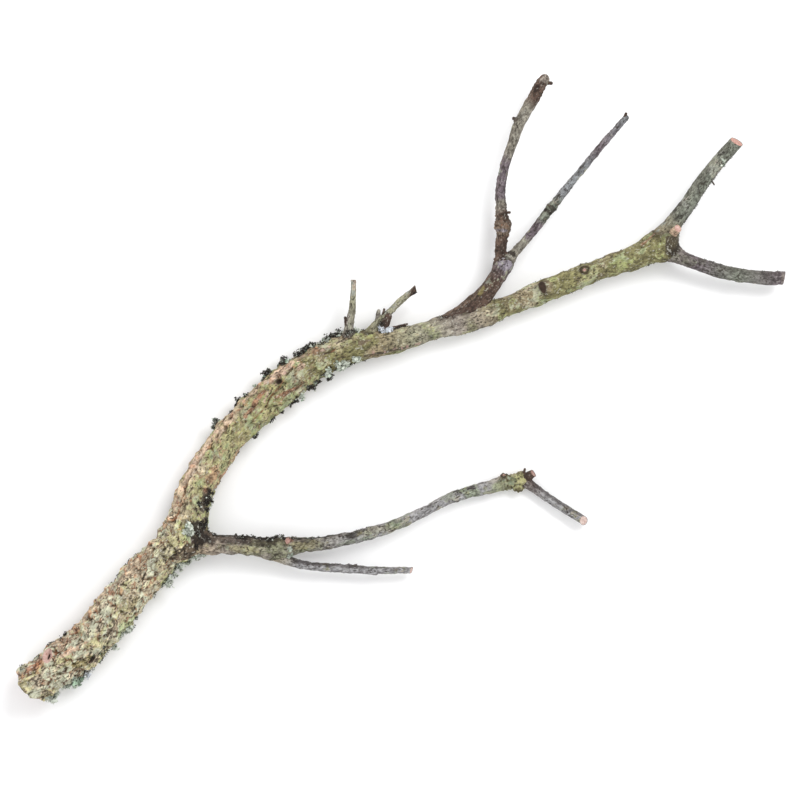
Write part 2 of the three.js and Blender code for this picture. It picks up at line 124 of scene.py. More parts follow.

# %% [markdown]
# ## The limbs' centre lines
# A limb is a curve in space with a thickness at each point. A few given points are enough, because
# a smooth curve is drawn through them. They are the same points as in the solid model, so both have one
# form. The stem is one curve here, cut in three at its forks, so that the bark runs on from piece to piece.

# %% Points of each limb: x, y, height and radius
ROUTES = {
    "stem": [
        [-335, -269, 17.6, 17.4], [-308, -249, 17.8, 18.9], [-284, -231, 18.6, 19.2],
        [-267, -212, 19.6, 18.7], [-251, -192, 20.2, 17.6], [-234, -172, 20.2, 16.7],
        [-217, -153, 19.8, 16.7], [-200, -134, 18.8, 17.1],
        [-191, -115, 18.4, 16.2], [-186, -96, 17.6, 15.3], [-176, -74, 16.8, 14.8], [-161, -51, 16.2, 14.4],
        [-143, -31, 15.8, 14.6], [-122, -12, 15.4, 14.8], [-101, 6, 15.0, 15.6], [-79, 21, 14.6, 15.6],
        [-58, 32, 14.4, 14.8], [-35, 38, 14.8, 13.5], [-10, 41, 15.6, 11.4], [17, 49, 16.4, 9.5],
        [44, 56, 17.0, 9.3], [71, 64, 17.4, 9.7], [99, 75, 18.0, 9.6], [126, 86, 18.5, 10.1],
        [152, 96, 19.0, 9.9], [179, 107, 19.5, 9.8], [206, 116, 20.0, 11.0], [226, 125, 20.5, 12.4],
        [238, 130, 21.0, 11.0],
    ],
    "lower_limb": [
        [-196, -134, 19.0, 11.0], [-182, -139, 19.0, 10.4], [-170, -141, 18.7, 8.8], [-158, -141, 18.5, 8.1],
        [-136, -143, 18.0, 8.2], [-111, -144, 17.5, 8.9], [-91, -142, 17.2, 7.0], [-64, -139, 16.8, 5.8],
        [-36, -133, 16.2, 5.6], [-9, -125, 15.2, 5.0], [18, -113, 13.8, 4.6], [44, -100, 12.2, 4.9],
        [71, -92, 9.4, 5.6], [94, -86, 6.8, 6.4], [109, -83, 6.0, 7.2],
    ],
    "lower_limb_side_twig": [
        [-120, -148, 16.0, 5.0], [-103, -156, 14.8, 4.1], [-82, -161, 13.6, 4.0], [-55, -163, 12.6, 4.0],
        [-28, -165, 12.0, 3.8], [-5, -165, 11.2, 3.2], [9, -165, 10.6, 3.1],
    ],
    "lower_limb_tip_twig": [
        [110, -83, 6.6, 5.0], [125, -94, 7.2, 3.9], [142, -106, 8.4, 3.8], [165, -120, 10.0, 4.1],
    ],
    "upper_limb": [
        [24, 51, 17.4, 5.0], [46, 62, 18.0, 6.2], [62, 73, 19.4, 7.3], [76, 86, 20.8, 7.7],
        [86, 100, 21.8, 8.1], [92, 111, 22.2, 7.6],
    ],
    "upper_limb_left_twig": [
        [90, 109, 22.2, 6.4], [89, 127, 22.4, 5.3], [91, 146, 22.0, 6.6], [90, 159, 21.6, 5.7],
        [89, 177, 21.0, 4.7], [93, 200, 21.0, 4.4], [99, 218, 21.4, 4.5], [106, 238, 22.0, 4.9],
        [118, 259, 22.6, 5.2], [128, 277, 23.0, 5.2],
    ],
    "upper_limb_right_twig": [
        [93, 111, 22.0, 5.6], [103, 123, 21.0, 4.2], [116, 138, 19.6, 3.6], [134, 161, 18.2, 4.2],
        [153, 185, 17.6, 3.6], [171, 207, 18.0, 3.3], [188, 227, 19.0, 3.2], [202, 243, 20.0, 2.7],
    ],
    "end_fork_left_twig": [
        [233, 130, 21.0, 10.0], [242, 144, 21.6, 8.0], [256, 163, 22.4, 6.7], [268, 181, 23.0, 6.4],
        [283, 201, 23.6, 6.1], [301, 221, 24.0, 6.4],
    ],
    "end_fork_right_twig": [
        [236, 127, 20.6, 9.4], [250, 118, 19.6, 6.8], [269, 111, 18.6, 5.9], [287, 105, 17.6, 6.1],
        [310, 101, 17.0, 5.7], [332, 99, 17.0, 6.0], [345, 99, 17.0, 5.7],
    ],
    "short_spur_left": [
        [-48, 40, 20.0, 6.0], [-47, 56, 21.0, 4.0], [-44, 74, 23.0, 2.9], [-43, 97, 25.0, 2.5],
    ],
    "short_spur_right": [
        [-34, 42, 19.0, 5.5], [-22, 58, 20.0, 3.4], [-10, 69, 21.0, 2.9], [-1, 78, 22.0, 2.8],
        [13, 89, 23.0, 3.2],
    ],
}
STEM_FORKS = [8, 19]  # the stem's points at which it is parted: past the first fork, and before the second
# the limb that each one grows from
PARENTS = {
    "lower_limb": "stem",
    "lower_limb_side_twig": "lower_limb",
    "lower_limb_tip_twig": "lower_limb",
    "upper_limb": "stem",
    "upper_limb_left_twig": "upper_limb",
    "upper_limb_right_twig": "upper_limb",
    "end_fork_left_twig": "stem",
    "end_fork_right_twig": "stem",
    "short_spur_left": "stem",
    "short_spur_right": "stem",
}
ROUND_ENDS = ("stem", "lower_limb", "upper_limb", "upper_limb_left_twig", "upper_limb_right_twig")
ENDS = {name: "round" if name in ROUND_ENDS else "cut" for name in ROUTES}
print(sum(len(r) for r in ROUTES.values()), "points for", len(ROUTES), "curves")

# %% [markdown]
# ## From a curve to a skin
# The curve is walked in even steps. At each step a ring is drawn square to the curve: an angle of 0 is on
# top, and it grows towards the limb's left. Step and angle are the two parameters of the surface, so each
# limb is a grid.

# %% Walk a curve and draw its rings
STEP = 0.85  # distance between rings and between the points of a ring
FEWEST_COLUMNS = 16  # points round the thinnest limb
OVAL = 0.05  # how much wider than round a section is, as a share of its radius


def unit(v):
    """Each vector over its own length."""
    return v / np.linalg.norm(v, axis=-1, keepdims=True)


def smooth_curve(points, t):
    """The curve through all points: a cubic between each pair, whose slope at a point is half the step from
    the point before it to the point after it."""
    p = np.vstack([2 * points[0] - points[1], points, 2 * points[-1] - points[-2]])
    k = np.clip(t.astype(int), 0, len(points) - 2)
    u = (t - k)[:, None]
    a, b, c, d = p[k], p[k + 1], p[k + 2], p[k + 3]
    square, cube = 2 * a - 5 * b + 4 * c - d, 3 * b - a - 3 * c + d
    return 0.5 * (2 * b + (c - a) * u + square * u**2 + cube * u**3)


def walk(points, step):
    """Even steps along the curve: the distance walked, the centre, the radius and the ring's axes."""
    points = np.array(points, float)
    t = np.linspace(0, len(points) - 1, 40 * len(points))
    dense = smooth_curve(points, t)
    run = np.r_[0, np.cumsum(np.linalg.norm(np.diff(dense[:, :3], axis=0), axis=1))]
    even = np.linspace(0, run[-1], max(3, int(run[-1] / step)))
    line = smooth_curve(points, np.interp(even, run, t))
    along = unit(np.gradient(line[:, :3], axis=0))
    left = unit(np.cross([0, 0, 1.0], along))
    limb = {"run": even, "centre": line[:, :3], "radius": line[:, 3], "along": along, "left": left}
    limb["over"] = np.cross(along, left)
    limb["at_points"] = np.interp(np.arange(len(points)), t, run)
    return limb


def draw_rings(limb, step):
    """The round grid of a limb. out points away from the centre line, and skin is the oval's edge."""
    columns = max(FEWEST_COLUMNS, int(2 * np.pi * limb["radius"].max() / step))
    limb["angle"] = np.linspace(0, 2 * np.pi, columns, endpoint=False)
    cosine, sine = np.cos(limb["angle"])[:, None], np.sin(limb["angle"])[:, None]
    limb["out"] = limb["over"][:, None] * cosine + limb["left"][:, None] * sine
    turn = np.pi * noise(limb["centre"], 60)[:, None]
    limb["reach"] = limb["radius"][:, None] * (1 + OVAL * np.cos(2 * (limb["angle"] - turn)))
    limb["skin"] = limb["centre"][:, None] + limb["out"] * limb["reach"][..., None]


LIMBS = {name: walk(points, STEP) for name, points in ROUTES.items()}
for limb in LIMBS.values():
    draw_rings(limb, STEP)
STEM_CUTS = LIMBS["stem"]["at_points"][STEM_FORKS]
print("stem:", round(LIMBS["stem"]["run"][-1]), "mm long, parted at", STEM_CUTS.round())

# %% [markdown]
# ## How flaky the bark is
# Bark splits as the wood under it grows, so the old, thick butt has deep cracks and loose plates, and the
# young twigs are still smooth. One value from 0 to 1 along each limb says how far this has gone.

# %% Flakiness along each limb
# pairs of the distance walked in mm and the flakiness there
FLAKY = {name: [(0, 0.1), (1000, 0.1)] for name in ROUTES}
FLAKY["stem"] = [(0, 1.0), (190, 0.95), (230, 0.75), (330, 0.65), (400, 0.55), (440, 0.28), (560, 0.2)]
FLAKY["stem"] += [(730, 0.25)]
FLAKY["lower_limb"] = [(0, 0.35), (120, 0.25), (200, 0.12), (290, 0.15), (320, 0.35)]
FLAKY["upper_limb"] = [(0, 0.2), (200, 0.2)]
FLAKY["upper_limb_left_twig"] = [(0, 0.15), (30, 0.4), (52, 0.4), (60, 0.1), (150, 0.12), (185, 0.3)]
for name, limb in LIMBS.items():
    stations, values = zip(*FLAKY[name])
    limb["flaky"] = np.interp(limb["run"], stations, values)[:, None]
print("flakiness set for", len(FLAKY), "limbs")

# %% [markdown]
# ## Swellings and forks
# First come the large forms. The same noise as in the solid model makes the limb lumpy. Then, where two
# limbs meet, both swell towards each other: the nearer a point is to the other limb's skin, the more it is
# raised. Real forks have such a collar, because the wood fibres flow round the joint.

# %% Raise the large forms
COARSE = 0.7  # how much of the relief is whole swellings
SMALL = 0.5  # and how much is bumps half that size
LUMP = 9.0  # size of one swelling
TWIG_COLLAR = 8.0  # the two twigs of the end fork also swell towards each other
LITTLE_COLLAR = 5.0  # as do those of the upper limb
COLLAR = {"lower_limb": 15.0, "upper_limb": 7.0, "end_fork_left_twig": 12.0, "end_fork_right_twig": 12.0}
COLLAR_DEFAULT = 6.0


def relief_height(flaky):
    """How far the large lumps rise: from 0.5 mm on a smooth twig to 3.2 mm on the flaky butt."""
    return np.interp(flaky, [0.1, 0.2, 0.7, 1.0], [0.5, 1.2, 2.6, 3.2])


def distance_to(points, other):
    """The distance from each point to another limb's skin: to the nearest place of its centre line, less
    its radius there. It is negative inside that limb."""
    line, radius = other["centre"][::4], other["radius"][::4]
    best = np.full(points.shape[:-1], 1e9)
    for centre, r in zip(line, radius):
        best = np.minimum(best, np.linalg.norm(points - centre, axis=-1) - r)
    return best


def swell(limb, other, collar):
    """Raises a limb near another: by a quarter of the collar where they cross, to 0 a collar away."""
    gap = distance_to(limb["skin"], other)
    share = np.clip(1 - np.abs(gap) / collar, 0, 1)
    limb["rise"] += share**2 * collar / 4
    limb["crotch"] = np.maximum(limb["crotch"], np.exp(-np.maximum(gap, 0) / (0.45 * collar)))


for name, limb in LIMBS.items():
    size = np.minimum(LUMP, limb["radius"])[:, None, None]
    lumps = COARSE * noise(limb["skin"], size) + SMALL * noise(limb["skin"], size / 2)
    limb["rise"] = relief_height(limb["flaky"]) * lumps
    limb["crotch"] = np.zeros_like(limb["rise"])
for name, parent in PARENTS.items():
    collar = COLLAR.get(name, COLLAR_DEFAULT)
    swell(LIMBS[parent], LIMBS[name], collar)
    swell(LIMBS[name], LIMBS[parent], collar)
for fork, collar in (("end_fork", TWIG_COLLAR), ("upper_limb", LITTLE_COLLAR)):
    left, right = LIMBS[fork + "_left_twig"], LIMBS[fork + "_right_twig"]
    swell(left, right, collar)
    swell(right, left, collar)
print("largest collar:", round(float(LIMBS["stem"]["rise"].max()), 1), "mm")

# %% [markdown]
# ## Bark plates
# The cell noise is read in straightened coordinates: the distance walked, and the ring unrolled in place.
# Cells are stretched along the limb, as bark plates are. Each cell is a plate with its own height, tilted
# like a shingle, and the narrow border between cells is a crack, here and there. Smaller flakes and crumbs
# lie on the plates.

# %% Split the skin into plates and flakes
PLATE_SIZE = 7.5
PLATE_STRETCH = 1.35
PLATE_RISE = 0.7  # how far one plate stands above or below the rest
PLATE_TILT = 0.9  # and how far its end lifts, as a shingle's does
FLAKE_SIZE = 3.0
# how the plates' edges waver: size of the waves, how far they go, and where their noise is read
WAVERS = [(9.0, 2.2, 50), (3.0, 1.1, 90)]


def straightened(limb):
    """A limb's skin as if the limb were straight: distance walked, then the ring's own two coordinates."""
    reach, angle = limb["reach"], limb["angle"]
    run = np.broadcast_to(limb["run"][:, None], reach.shape)
    return np.stack([run, reach * np.cos(angle), reach * np.sin(angle)], axis=-1)


def bark(limb, seed):
    """Adds plates, flakes and crumbs to the rise, and keeps cracks, tone and edges for the colours."""
    flaky = limb["flaky"]
    flat = straightened(limb) + 100 * seed
    bend = 0.0
    for size, reach, offset in WAVERS:
        bend = bend + reach * np.stack([noise(flat + offset * k, size) for k in range(3)], axis=-1)
    warped = (flat + bend) * np.array([1 / PLATE_STRETCH, 1, 1])
    border, value, way = plates(warped / PLATE_SIZE, seed)
    whole = ease(-0.45, 0.25, noise(flat, 5.0))
    plate_crack = (1 - ease(0.02, 0.2, border)) * whole
    flake_border, flake_value, flake_way = plates(warped / FLAKE_SIZE, seed + 5)
    flake_crack = (1 - ease(0.0, 0.25, flake_border)) * (1 - whole)
    wrinkle = noise(flat * np.array([0.22, 1, 1]), 1.3)
    crumbs = layered(flat, 2.6, 2)
    limb["rise"] = limb["rise"] + flaky * (PLATE_RISE * value - 0.8 * plate_crack + PLATE_TILT * way[..., 0])
    limb["rise"] += flaky * (0.35 * flake_value - 0.3 * flake_crack + 0.4 * flake_way[..., 0])
    limb["rise"] += (0.28 - 0.2 * flaky) * wrinkle + (0.14 + 0.3 * flaky) * crumbs
    limb["crack"] = np.clip(np.maximum(plate_crack, 0.7 * flake_crack) * (0.15 + flaky), 0, 1)
    limb["tone"] = 0.5 * value + 0.3 * flake_value + 0.3 * crumbs
    limb["lip"] = ease(0.2, 0.5, way[..., 0] + 0.3 * crumbs) * flaky


for seed, limb in enumerate(LIMBS.values()):
    bark(limb, seed)
print("bark split on", sum(limb["rise"].size for limb in LIMBS.values()), "points")

# %% [markdown]
# ## Knots, holes and scars
# A knot is where a side shoot grew. It can be a lump under the bark, an open hole where the shoot rotted
# out, or a ring of new bark that has grown round an old cut. Each is set on the limb where a point seen
# from above says, and shaped by an oval distance round it: 0 in the middle, and 1 on the oval.

# %% Where each mark is, and how large
# limb, x, y, length along the limb, width across it, rise, kind, turn in degrees
MARKS = [
    ("stem", -316.6, -239.4, 14.5, 10.0, 1.6, "scar", 58),
    ("stem", -276.8, -241.4, 9.0, 5.0, -3.2, "hole", 20),
    ("stem", -274.0, -246.0, 8.0, 5.0, 0.5, "bare", 40),
    ("stem", -298.4, -237.8, 15.0, 6.0, 0.6, "bare", 12),
    ("stem", -247.1, -185.6, 11.0, 5.0, 0.4, "bare", -15),
    ("stem", -322.0, -247.0, 18.0, 5.0, 0.6, "bare", 5),
    ("stem", -110.3, 5.7, 6.0, 5.4, -3.0, "hole", 0),
    ("stem", 126.5, 89.8, 6.6, 12.4, 0.9, "plug", -4),
    ("stem", 164.7, 105.5, 9.0, 8.0, 1.0, "eye", 0),
    ("stem", 36.0, 50.6, 3.6, 2.8, 0.3, "bare", 0),
    ("stem", 69.8, 64.6, 3.4, 2.6, 0.3, "bare", 0),
    ("stem", 70.7, 74.5, 8.0, 5.0, 1.6, "bud", 0),
    ("stem", -322.0, -262.0, 20.0, 12.0, 1.6, "lump", 0),
    ("stem", -273.0, -246.0, 14.0, 9.0, 1.8, "lump", 0),
    ("stem", -257.0, -227.0, 15.0, 10.0, 2.0, "lump", 0),
    ("stem", -229.0, -187.0, 12.0, 8.0, 1.6, "lump", 0),
    ("stem", -246.0, -170.0, 13.0, 9.0, 1.4, "lump", 0),
    ("lower_limb", -149.0, -133.4, 3.6, 3.6, 2.2, "bud", 0),
    ("lower_limb", -127.8, -134.3, 3.6, 3.6, 2.0, "bud", 0),
    ("lower_limb", 92.8, -80.7, 7.0, 6.0, 3.2, "eye", 0),
    ("lower_limb", 104.9, -91.1, 8.5, 7.5, 3.6, "bud", 0),
    ("lower_limb", -55.0, -133.0, 5.0, 4.0, 0.8, "bud", 0),
    ("upper_limb_left_twig", 92.0, 146.0, 17.0, 13.0, 1.6, "lump", 0),
    ("upper_limb_left_twig", 103.0, 241.0, 6.0, 5.0, 2.0, "bud", 0),
    ("upper_limb_left_twig", 121.0, 268.0, 9.0, 5.0, 1.0, "bud", 0),
    ("upper_limb_right_twig", 136.0, 161.0, 5.0, 9.0, 1.3, "bud", 0),
    ("upper_limb_right_twig", 162.0, 198.0, 4.0, 3.5, 1.0, "bud", 0),
    ("upper_limb_right_twig", 147.0, 178.0, 3.0, 3.0, 0.8, "bud", 0),
    ("end_fork_left_twig", 290.0, 207.0, 10.0, 6.0, 1.0, "lump", 0),
    ("end_fork_right_twig", 304.0, 96.0, 8.0, 5.0, 1.2, "lump", 0),
    ("lower_limb_side_twig", -24.0, -169.0, 4.0, 3.0, 1.0, "bud", 0),
    ("lower_limb_side_twig", -41.0, -160.0, 3.0, 3.0, 1.0, "bud", 0),
]
for limb in LIMBS.values():
    for cover in ("dark", "wood", "hole"):
        limb[cover] = np.zeros_like(limb["rise"])
print(len(MARKS), "marks on", len({mark[0] for mark in MARKS}), "limbs")

# %% Shape the marks
def station(limb, x, y):
    """The row of a limb nearest a point seen from above, and the point's angle from the limb's top."""
    offset = np.array([x, y]) - limb["centre"][:, :2]
    row = np.linalg.norm(offset, axis=1).argmin()
    share = offset[row] @ unit(limb["left"][row, :2]) / limb["radius"][row]
    return row, np.arcsin(np.clip(share, -0.97, 0.97))


def oval_round(limb, x, y, length, width, turn):
    """Oval distance on the skin: the diagonal of the steps along and across, each over its half size."""
    row, angle = station(limb, x, y)
    out = limb["over"][row] * np.cos(angle) + limb["left"][row] * np.sin(angle)
    spot = limb["centre"][row] + out * limb["radius"][row]
    along = limb["along"][row]
    across = np.cross(out, along)
    turned = np.radians(turn)
    first = along * np.cos(turned) + across * np.sin(turned)
    second = across * np.cos(turned) - along * np.sin(turned)
    offset = limb["skin"] - spot
    flat = np.hypot(offset @ first / (length / 2), offset @ second / (width / 2))
    deep = np.abs(offset @ out) / max(length, width)
    return np.where(deep < 1.2, flat, 9.0)


def blend_to(limb, name, value, share):
    """Moves one of the limb's values to the given one, as far as share says."""
    limb[name] = limb[name] * (1 - share) + value * share


def set_mark(limb, x, y, length, width, rise, kind, turn):
    """Shapes one mark from its oval distance q: a rim is a bell curve round q = 1, a dome is the top of a
    ball, and a pit is a soft step down inside. Lumps, buds and bare spots only rise, and a bud is dark."""
    q = oval_round(limb, x, y, length, width, turn)
    q = q * (1 + 0.12 * noise(limb["skin"], 3.0))
    inside = 1 - ease(0.8, 1.15, q)
    core = 1 - ease(0.3, 0.5, q)
    if kind == "scar":
        core = 1 - ease(0.7, 1.1, oval_round(limb, x, y, 0.5 * length, 0.3 * width, turn))
    ring = np.exp(-(((q - 0.95) / 0.3) ** 2))
    dome = np.sqrt(np.clip(1 - q * q / 1.3, 0, 1))
    if kind == "scar":
        limb["rise"] = limb["rise"] * (1 - 0.8 * ring) + rise * ring
        blend_to(limb, "rise", -0.9, 1 - ease(0.55, 0.8, q))
        limb["rise"] -= 2.4 * core
        limb["wood"] = np.maximum(limb["wood"], (1 - ease(0.9, 1.1, q)) * (1 - core))
        limb["hole"] = np.maximum(limb["hole"], core)
        limb["crack"] *= 1 - 0.8 * inside
    elif kind in ("hole", "plug", "eye"):
        limb["rise"] = limb["rise"] + abs(rise) * 0.3 * ring + np.minimum(rise, 0) * (1 - ease(0.5, 0.95, q))
        limb["rise"] = limb["rise"] + max(rise, 0) * dome
        hollow = {"hole": 0.85, "plug": 0.9, "eye": 0.45}[kind]
        filled = 1 - ease(hollow - 0.2, hollow + 0.1, q)
        if kind == "eye":
            filled = 0.75 * np.exp(-(((q - 0.75) / 0.22) ** 2))
        limb["hole"] = np.maximum(limb["hole"], filled)
        limb["dark"] = np.maximum(limb["dark"], 0.8 * (1 - ease(1.0, 1.3, q)))
        if kind == "eye":
            limb["rise"] -= 0.8 * core
            limb["wood"] = np.maximum(limb["wood"], 0.6 * core)
            limb["hole"] *= 1 - 0.8 * core
    elif kind == "bare":
        limb["lip"] = np.maximum(limb["lip"], inside)
        limb["rise"] = limb["rise"] + rise * inside
    else:
        limb["rise"] = limb["rise"] + rise * dome
        if kind == "bud":
            limb["dark"] = np.maximum(limb["dark"], 0.9 * inside)


for name, *mark in MARKS:
    set_mark(LIMBS[name], *mark)
print("deepest hole", round(float(LIMBS["stem"]["rise"].min()), 1), "mm")

# %% [markdown]
# ## Folds that run along or across the bark
# Long ridges, each with a crack beside it, run along the stem, where the wood twisted as it grew. The
# knuckle of the lower limb and the upper twigs have wrinkles across them, one for each year's stop. Both
# are waves added to the rise along a path.

# %% Ridges along, wrinkles across
def ridge(limb, points, width, height):
    """A ridge, shaped as a bell curve, with a narrower groove on its lower side. Its line is given by
    points, each a distance walked and an angle in degrees."""
    run, angle = np.array(points, float).T
    middle = np.radians(np.interp(limb["run"], run, angle))[:, None]
    middle = middle + 0.12 * noise(limb["centre"], 9.0)[:, None]
    inside = (limb["run"] > run.min()) & (limb["run"] < run.max())
    turn = (limb["angle"] - middle + np.pi) % (2 * np.pi) - np.pi
    across = turn * limb["radius"][:, None] / width
    from_end = np.minimum(limb["run"] - run.min(), run.max() - limb["run"])
    fade = (np.clip(from_end / 8, 0, 1) * inside)[:, None]
    crest, groove = np.exp(-(across**2)), np.exp(-(((across + 1.3) / 0.45) ** 2))
    limb["rise"] = limb["rise"] + fade * height * (crest - 1.1 * groove)
    limb["crack"] = np.maximum(limb["crack"], fade * 0.9 * groove)
    limb["wood"] = np.maximum(limb["wood"], fade * 0.5 * crest * ease(-0.4, 0.4, noise(limb["skin"], 2.5)))


def wrinkles(limb, start, stop, spacing, height):
    """Folds across a limb between two distances walked: a sine without its sign, cracked where it is 0."""
    inside = ease(start - 3, start + 3, limb["run"]) * (1 - ease(stop - 3, stop + 3, limb["run"]))
    phase = limb["run"][:, None] + 1.2 * noise(limb["skin"], 6.0)
    wave = np.abs(np.sin(np.pi * phase / spacing))
    limb["rise"] = limb["rise"] + inside[:, None] * height * (wave - 0.6)
    limb["crack"] = np.maximum(limb["crack"], inside[:, None] * 0.7 * (1 - ease(0.1, 0.45, wave)))


# the points, width and height of each ridge of the stem
RIDGES = [
    ([(314, -14), (335, -4), (352, 14), (366, 30), (378, 44)], 2.6, 1.1),
    ([(196, 62), (240, 58), (290, 62), (330, 66)], 3.6, 0.8),
    ([(398, 40), (412, 30), (424, 24)], 3.6, 1.2),
    ([(442, -32), (462, -40), (482, -50), (500, -60)], 3.4, 1.3),
]
for ridge_line in RIDGES:
    ridge(LIMBS["stem"], *ridge_line)
# limb, from, to, spacing and height
FOLDS = [
    ("lower_limb", 297, 316, 3.4, 1.0),
    ("upper_limb_left_twig", 27, 50, 4.5, 0.7),
    ("upper_limb_left_twig", 160, 180, 4.0, 0.6),
    ("upper_limb_right_twig", 52, 76, 6.0, 0.5),
]
for name, *fold in FOLDS:
    wrinkles(LIMBS[name], *fold)
print(len(RIDGES), "ridges and", len(FOLDS), "folded stretches")

# %% [markdown]
# ## Hollows
# The bark is darkened where it lies lower than what is round it, as painted shade, and lightened where it
# lies higher, as a painted highlight. How low a point lies is the mean height over a small window, less its
# own height. The painted shade makes the relief read from above.

# %% How deep each point lies
HOLLOW_REACH = 5  # half the window, in steps of the grid


def smoothed(field, reach):
    """The mean over a window of rings, whose ends repeat, and of angles, which wrap round."""
    span = range(-reach, reach + 1)
    round_the_ring = sum(np.roll(field, k, axis=1) for k in span) / len(span)
    long = np.pad(round_the_ring, ((reach, reach), (0, 0)), mode="edge")
    return sum(long[reach + k : reach + k + len(field)] for k in span) / len(span)


for limb in LIMBS.values():
    limb["hollow"] = smoothed(limb["rise"], HOLLOW_REACH) - limb["rise"]
print("deepest hollow", round(float(LIMBS["stem"]["hollow"].max()), 1), "mm")

# %% [markdown]
# ## What grows on the bark, and painted shade
# Crusty lichen covers most of the thick wood, algae tint it green, and one side of each limb and the crotches
# between limbs are darkened as painted shade.
# Each is a cover from 0 to 1 that varies along the limb. Its edge is broken up by noise and by the plates,
# because a plate that has just flaked off is still bare.

# %% Cover along each limb: distance walked, crust, algae, dark side (painted shade)
COVER = {
    "stem": [
        (0, 0.75, 0.25, 0.0),
        (90, 0.7, 0.25, 0.0),
        (180, 0.7, 0.35, 0.05),
        (230, 0.5, 0.7, 0.1),
        (300, 0.5, 0.85, 0.0),
        (360, 0.5, 0.75, 0.0),
        (430, 0.45, 0.7, 0.15),
        (480, 0.3, 0.5, 0.3),
        (540, 0.4, 0.6, 0.2),
        (640, 0.4, 0.85, 0.25),
        (731, 0.45, 0.85, 0.35),
    ],
    "lower_limb": [
        (0, 0.3, 0.4, 0.85),
        (70, 0.3, 0.6, 0.95),
        (130, 0.3, 0.75, 0.5),
        (180, 0.35, 0.55, 0.3),
        (220, 0.45, 0.3, 0.25),
        (290, 0.4, 0.75, 0.3),
        (316, 0.3, 0.9, 0.4),
    ],
    "lower_limb_side_twig": [(0, 0.2, 0.35, 0.8), (60, 0.25, 0.1, 0.8), (131, 0.4, 0.05, 0.3)],
    "lower_limb_tip_twig": [(0, 0.2, 0.2, 0.7), (66, 0.4, 0.05, 0.6)],
    "upper_limb": [(0, 0.15, 0.2, 0.6), (50, 0.12, 0.35, 0.45), (93, 0.25, 0.1, 0.4)],
    "upper_limb_left_twig": [(0, 0.15, 0.1, 0.6), (100, 0.2, 0.0, 0.6), (176, 0.3, 0.1, 0.7)],
    "upper_limb_right_twig": [
        (0, 0.35, 0.6, 0.4),
        (35, 0.2, 0.3, 0.5),
        (75, 0.25, 0.3, 0.5),
        (171, 0.25, 0.0, 0.5),
    ],
    "end_fork_left_twig": [(0, 0.25, 0.4, 0.8), (40, 0.3, 0.2, 0.9), (113, 0.35, 0.1, 0.8)],
    "end_fork_right_twig": [(0, 0.3, 0.5, 0.5), (45, 0.2, 0.45, 0.5), (114, 0.25, 0.1, 0.5)],
    "short_spur_left": [(0, 0.4, 0.4, 0.4), (57, 0.35, 0.25, 0.4)],
    "short_spur_right": [(0, 0.4, 0.5, 0.3), (67, 0.35, 0.35, 0.4)],
}
PAINTED_SHADE_SIDE = np.array([0.6, 0.8, 0.0])  # the limbs are darkened on the side that faces this way, as painted shade
FLAKED_SIDE = np.array([-0.75, 0.66, 0.0])  # and more bark has flaked off on the side that faces this way

for name, limb in LIMBS.items():
    stations, crust, algae, dark = np.array(COVER[name]).T
    crust, algae, dark = (np.interp(limb["run"], stations, v)[:, None] for v in (crust, algae, dark))
    patch = layered(limb["skin"], 14.0, 4) / 1.6
    other = layered(limb["skin"] + 500, 17.0, 4) / 1.6
    fresh = 0.35 * limb["tone"]
    blush = limb["flaky"] * ease(0.1, 0.85, limb["out"] @ FLAKED_SIDE + 0.3 * other)
    limb["blush"] = blush
    limb["crust"] = ease(0.36, 0.66, crust + 0.4 * patch + fresh - 0.2 * blush) * (1 - 0.6 * limb["crack"])
    green_side = 0.3 * limb["flaky"] * (limb["out"] @ -FLAKED_SIDE)
    limb["algae"] = ease(0.3, 0.75, algae - 0.1 + 0.5 * other + green_side) * (1 - 0.5 * limb["crack"])
    limb["lip"] = limb["lip"] * ease(-0.2, 0.75, limb["out"] @ FLAKED_SIDE + 0.5 * other)
    # painted shade: one side of each limb is darkened, as far as the dark column says
    shade = limb["out"] @ PAINTED_SHADE_SIDE + 0.35 * layered(limb["skin"], 5.0, 3)
    limb["dark"] = np.maximum(limb["dark"], dark * ease(0.1, 0.7, shade + 0.6 * (dark - 0.4)))
    # painted shade in the crotches, where two limbs meet
    crotch = 0.75 * ease(0.35, 0.95, limb["crotch"] + 0.2 * other) * (dark > 0.04)
    limb["dark"] = np.maximum(limb["dark"], crotch)
print("crust covers", round(float(LIMBS["stem"]["crust"].mean()), 2), "of the stem")

# %% [markdown]
# ## The colour of the bark itself
# Bare bark changes along a limb: pinkish brown on the old wood, olive on the firm wood, and grey, brown and
# purple bands on the young twigs. Colours are given as sRGB hex values, as on a colour card. Blender works
# in linear light, so one function converts them.

# %% Named bark colours and where each limb has them
# how fresh and so how pink the cuts of a limb are
FRESH = {"end_fork_left_twig": 1.0, "lower_limb": 0.8, "stem": 0.65, "lower_limb_side_twig": 0.3}
OLD_CUT = 0.1  # and those of all other limbs


def linear(hexcode):
    """sRGB hex to linear light: the standard curve, a power of 2.4 above a short straight foot."""
    srgb = np.array([int(hexcode[k : k + 2], 16) for k in (0, 2, 4)]) / 255
    low, high = srgb / 12.92, ((srgb + 0.055) / 1.055) ** 2.4
    return np.where(srgb <= 0.04045, low, high)


HEX = {
    "blush": "c6ae9a", "rose": "bca48e", "cream": "c9bca2", "tan": "a8957a", "sand": "a9a083",
    "olive": "8b8168", "sage": "93937e", "moss": "837d4c", "stone": "86837a", "brown": "64574b",
    "umber": "54443c", "plum": "685f67", "lilac": "8b8894", "near_black": "2f2925", "russet": "9a6e57",
    "slate": "7b7f84", "teal": "70756c", "ash": "9a938b", "grey": "95969a",
}
BARK = {name: linear(hexcode) for name, hexcode in HEX.items()}
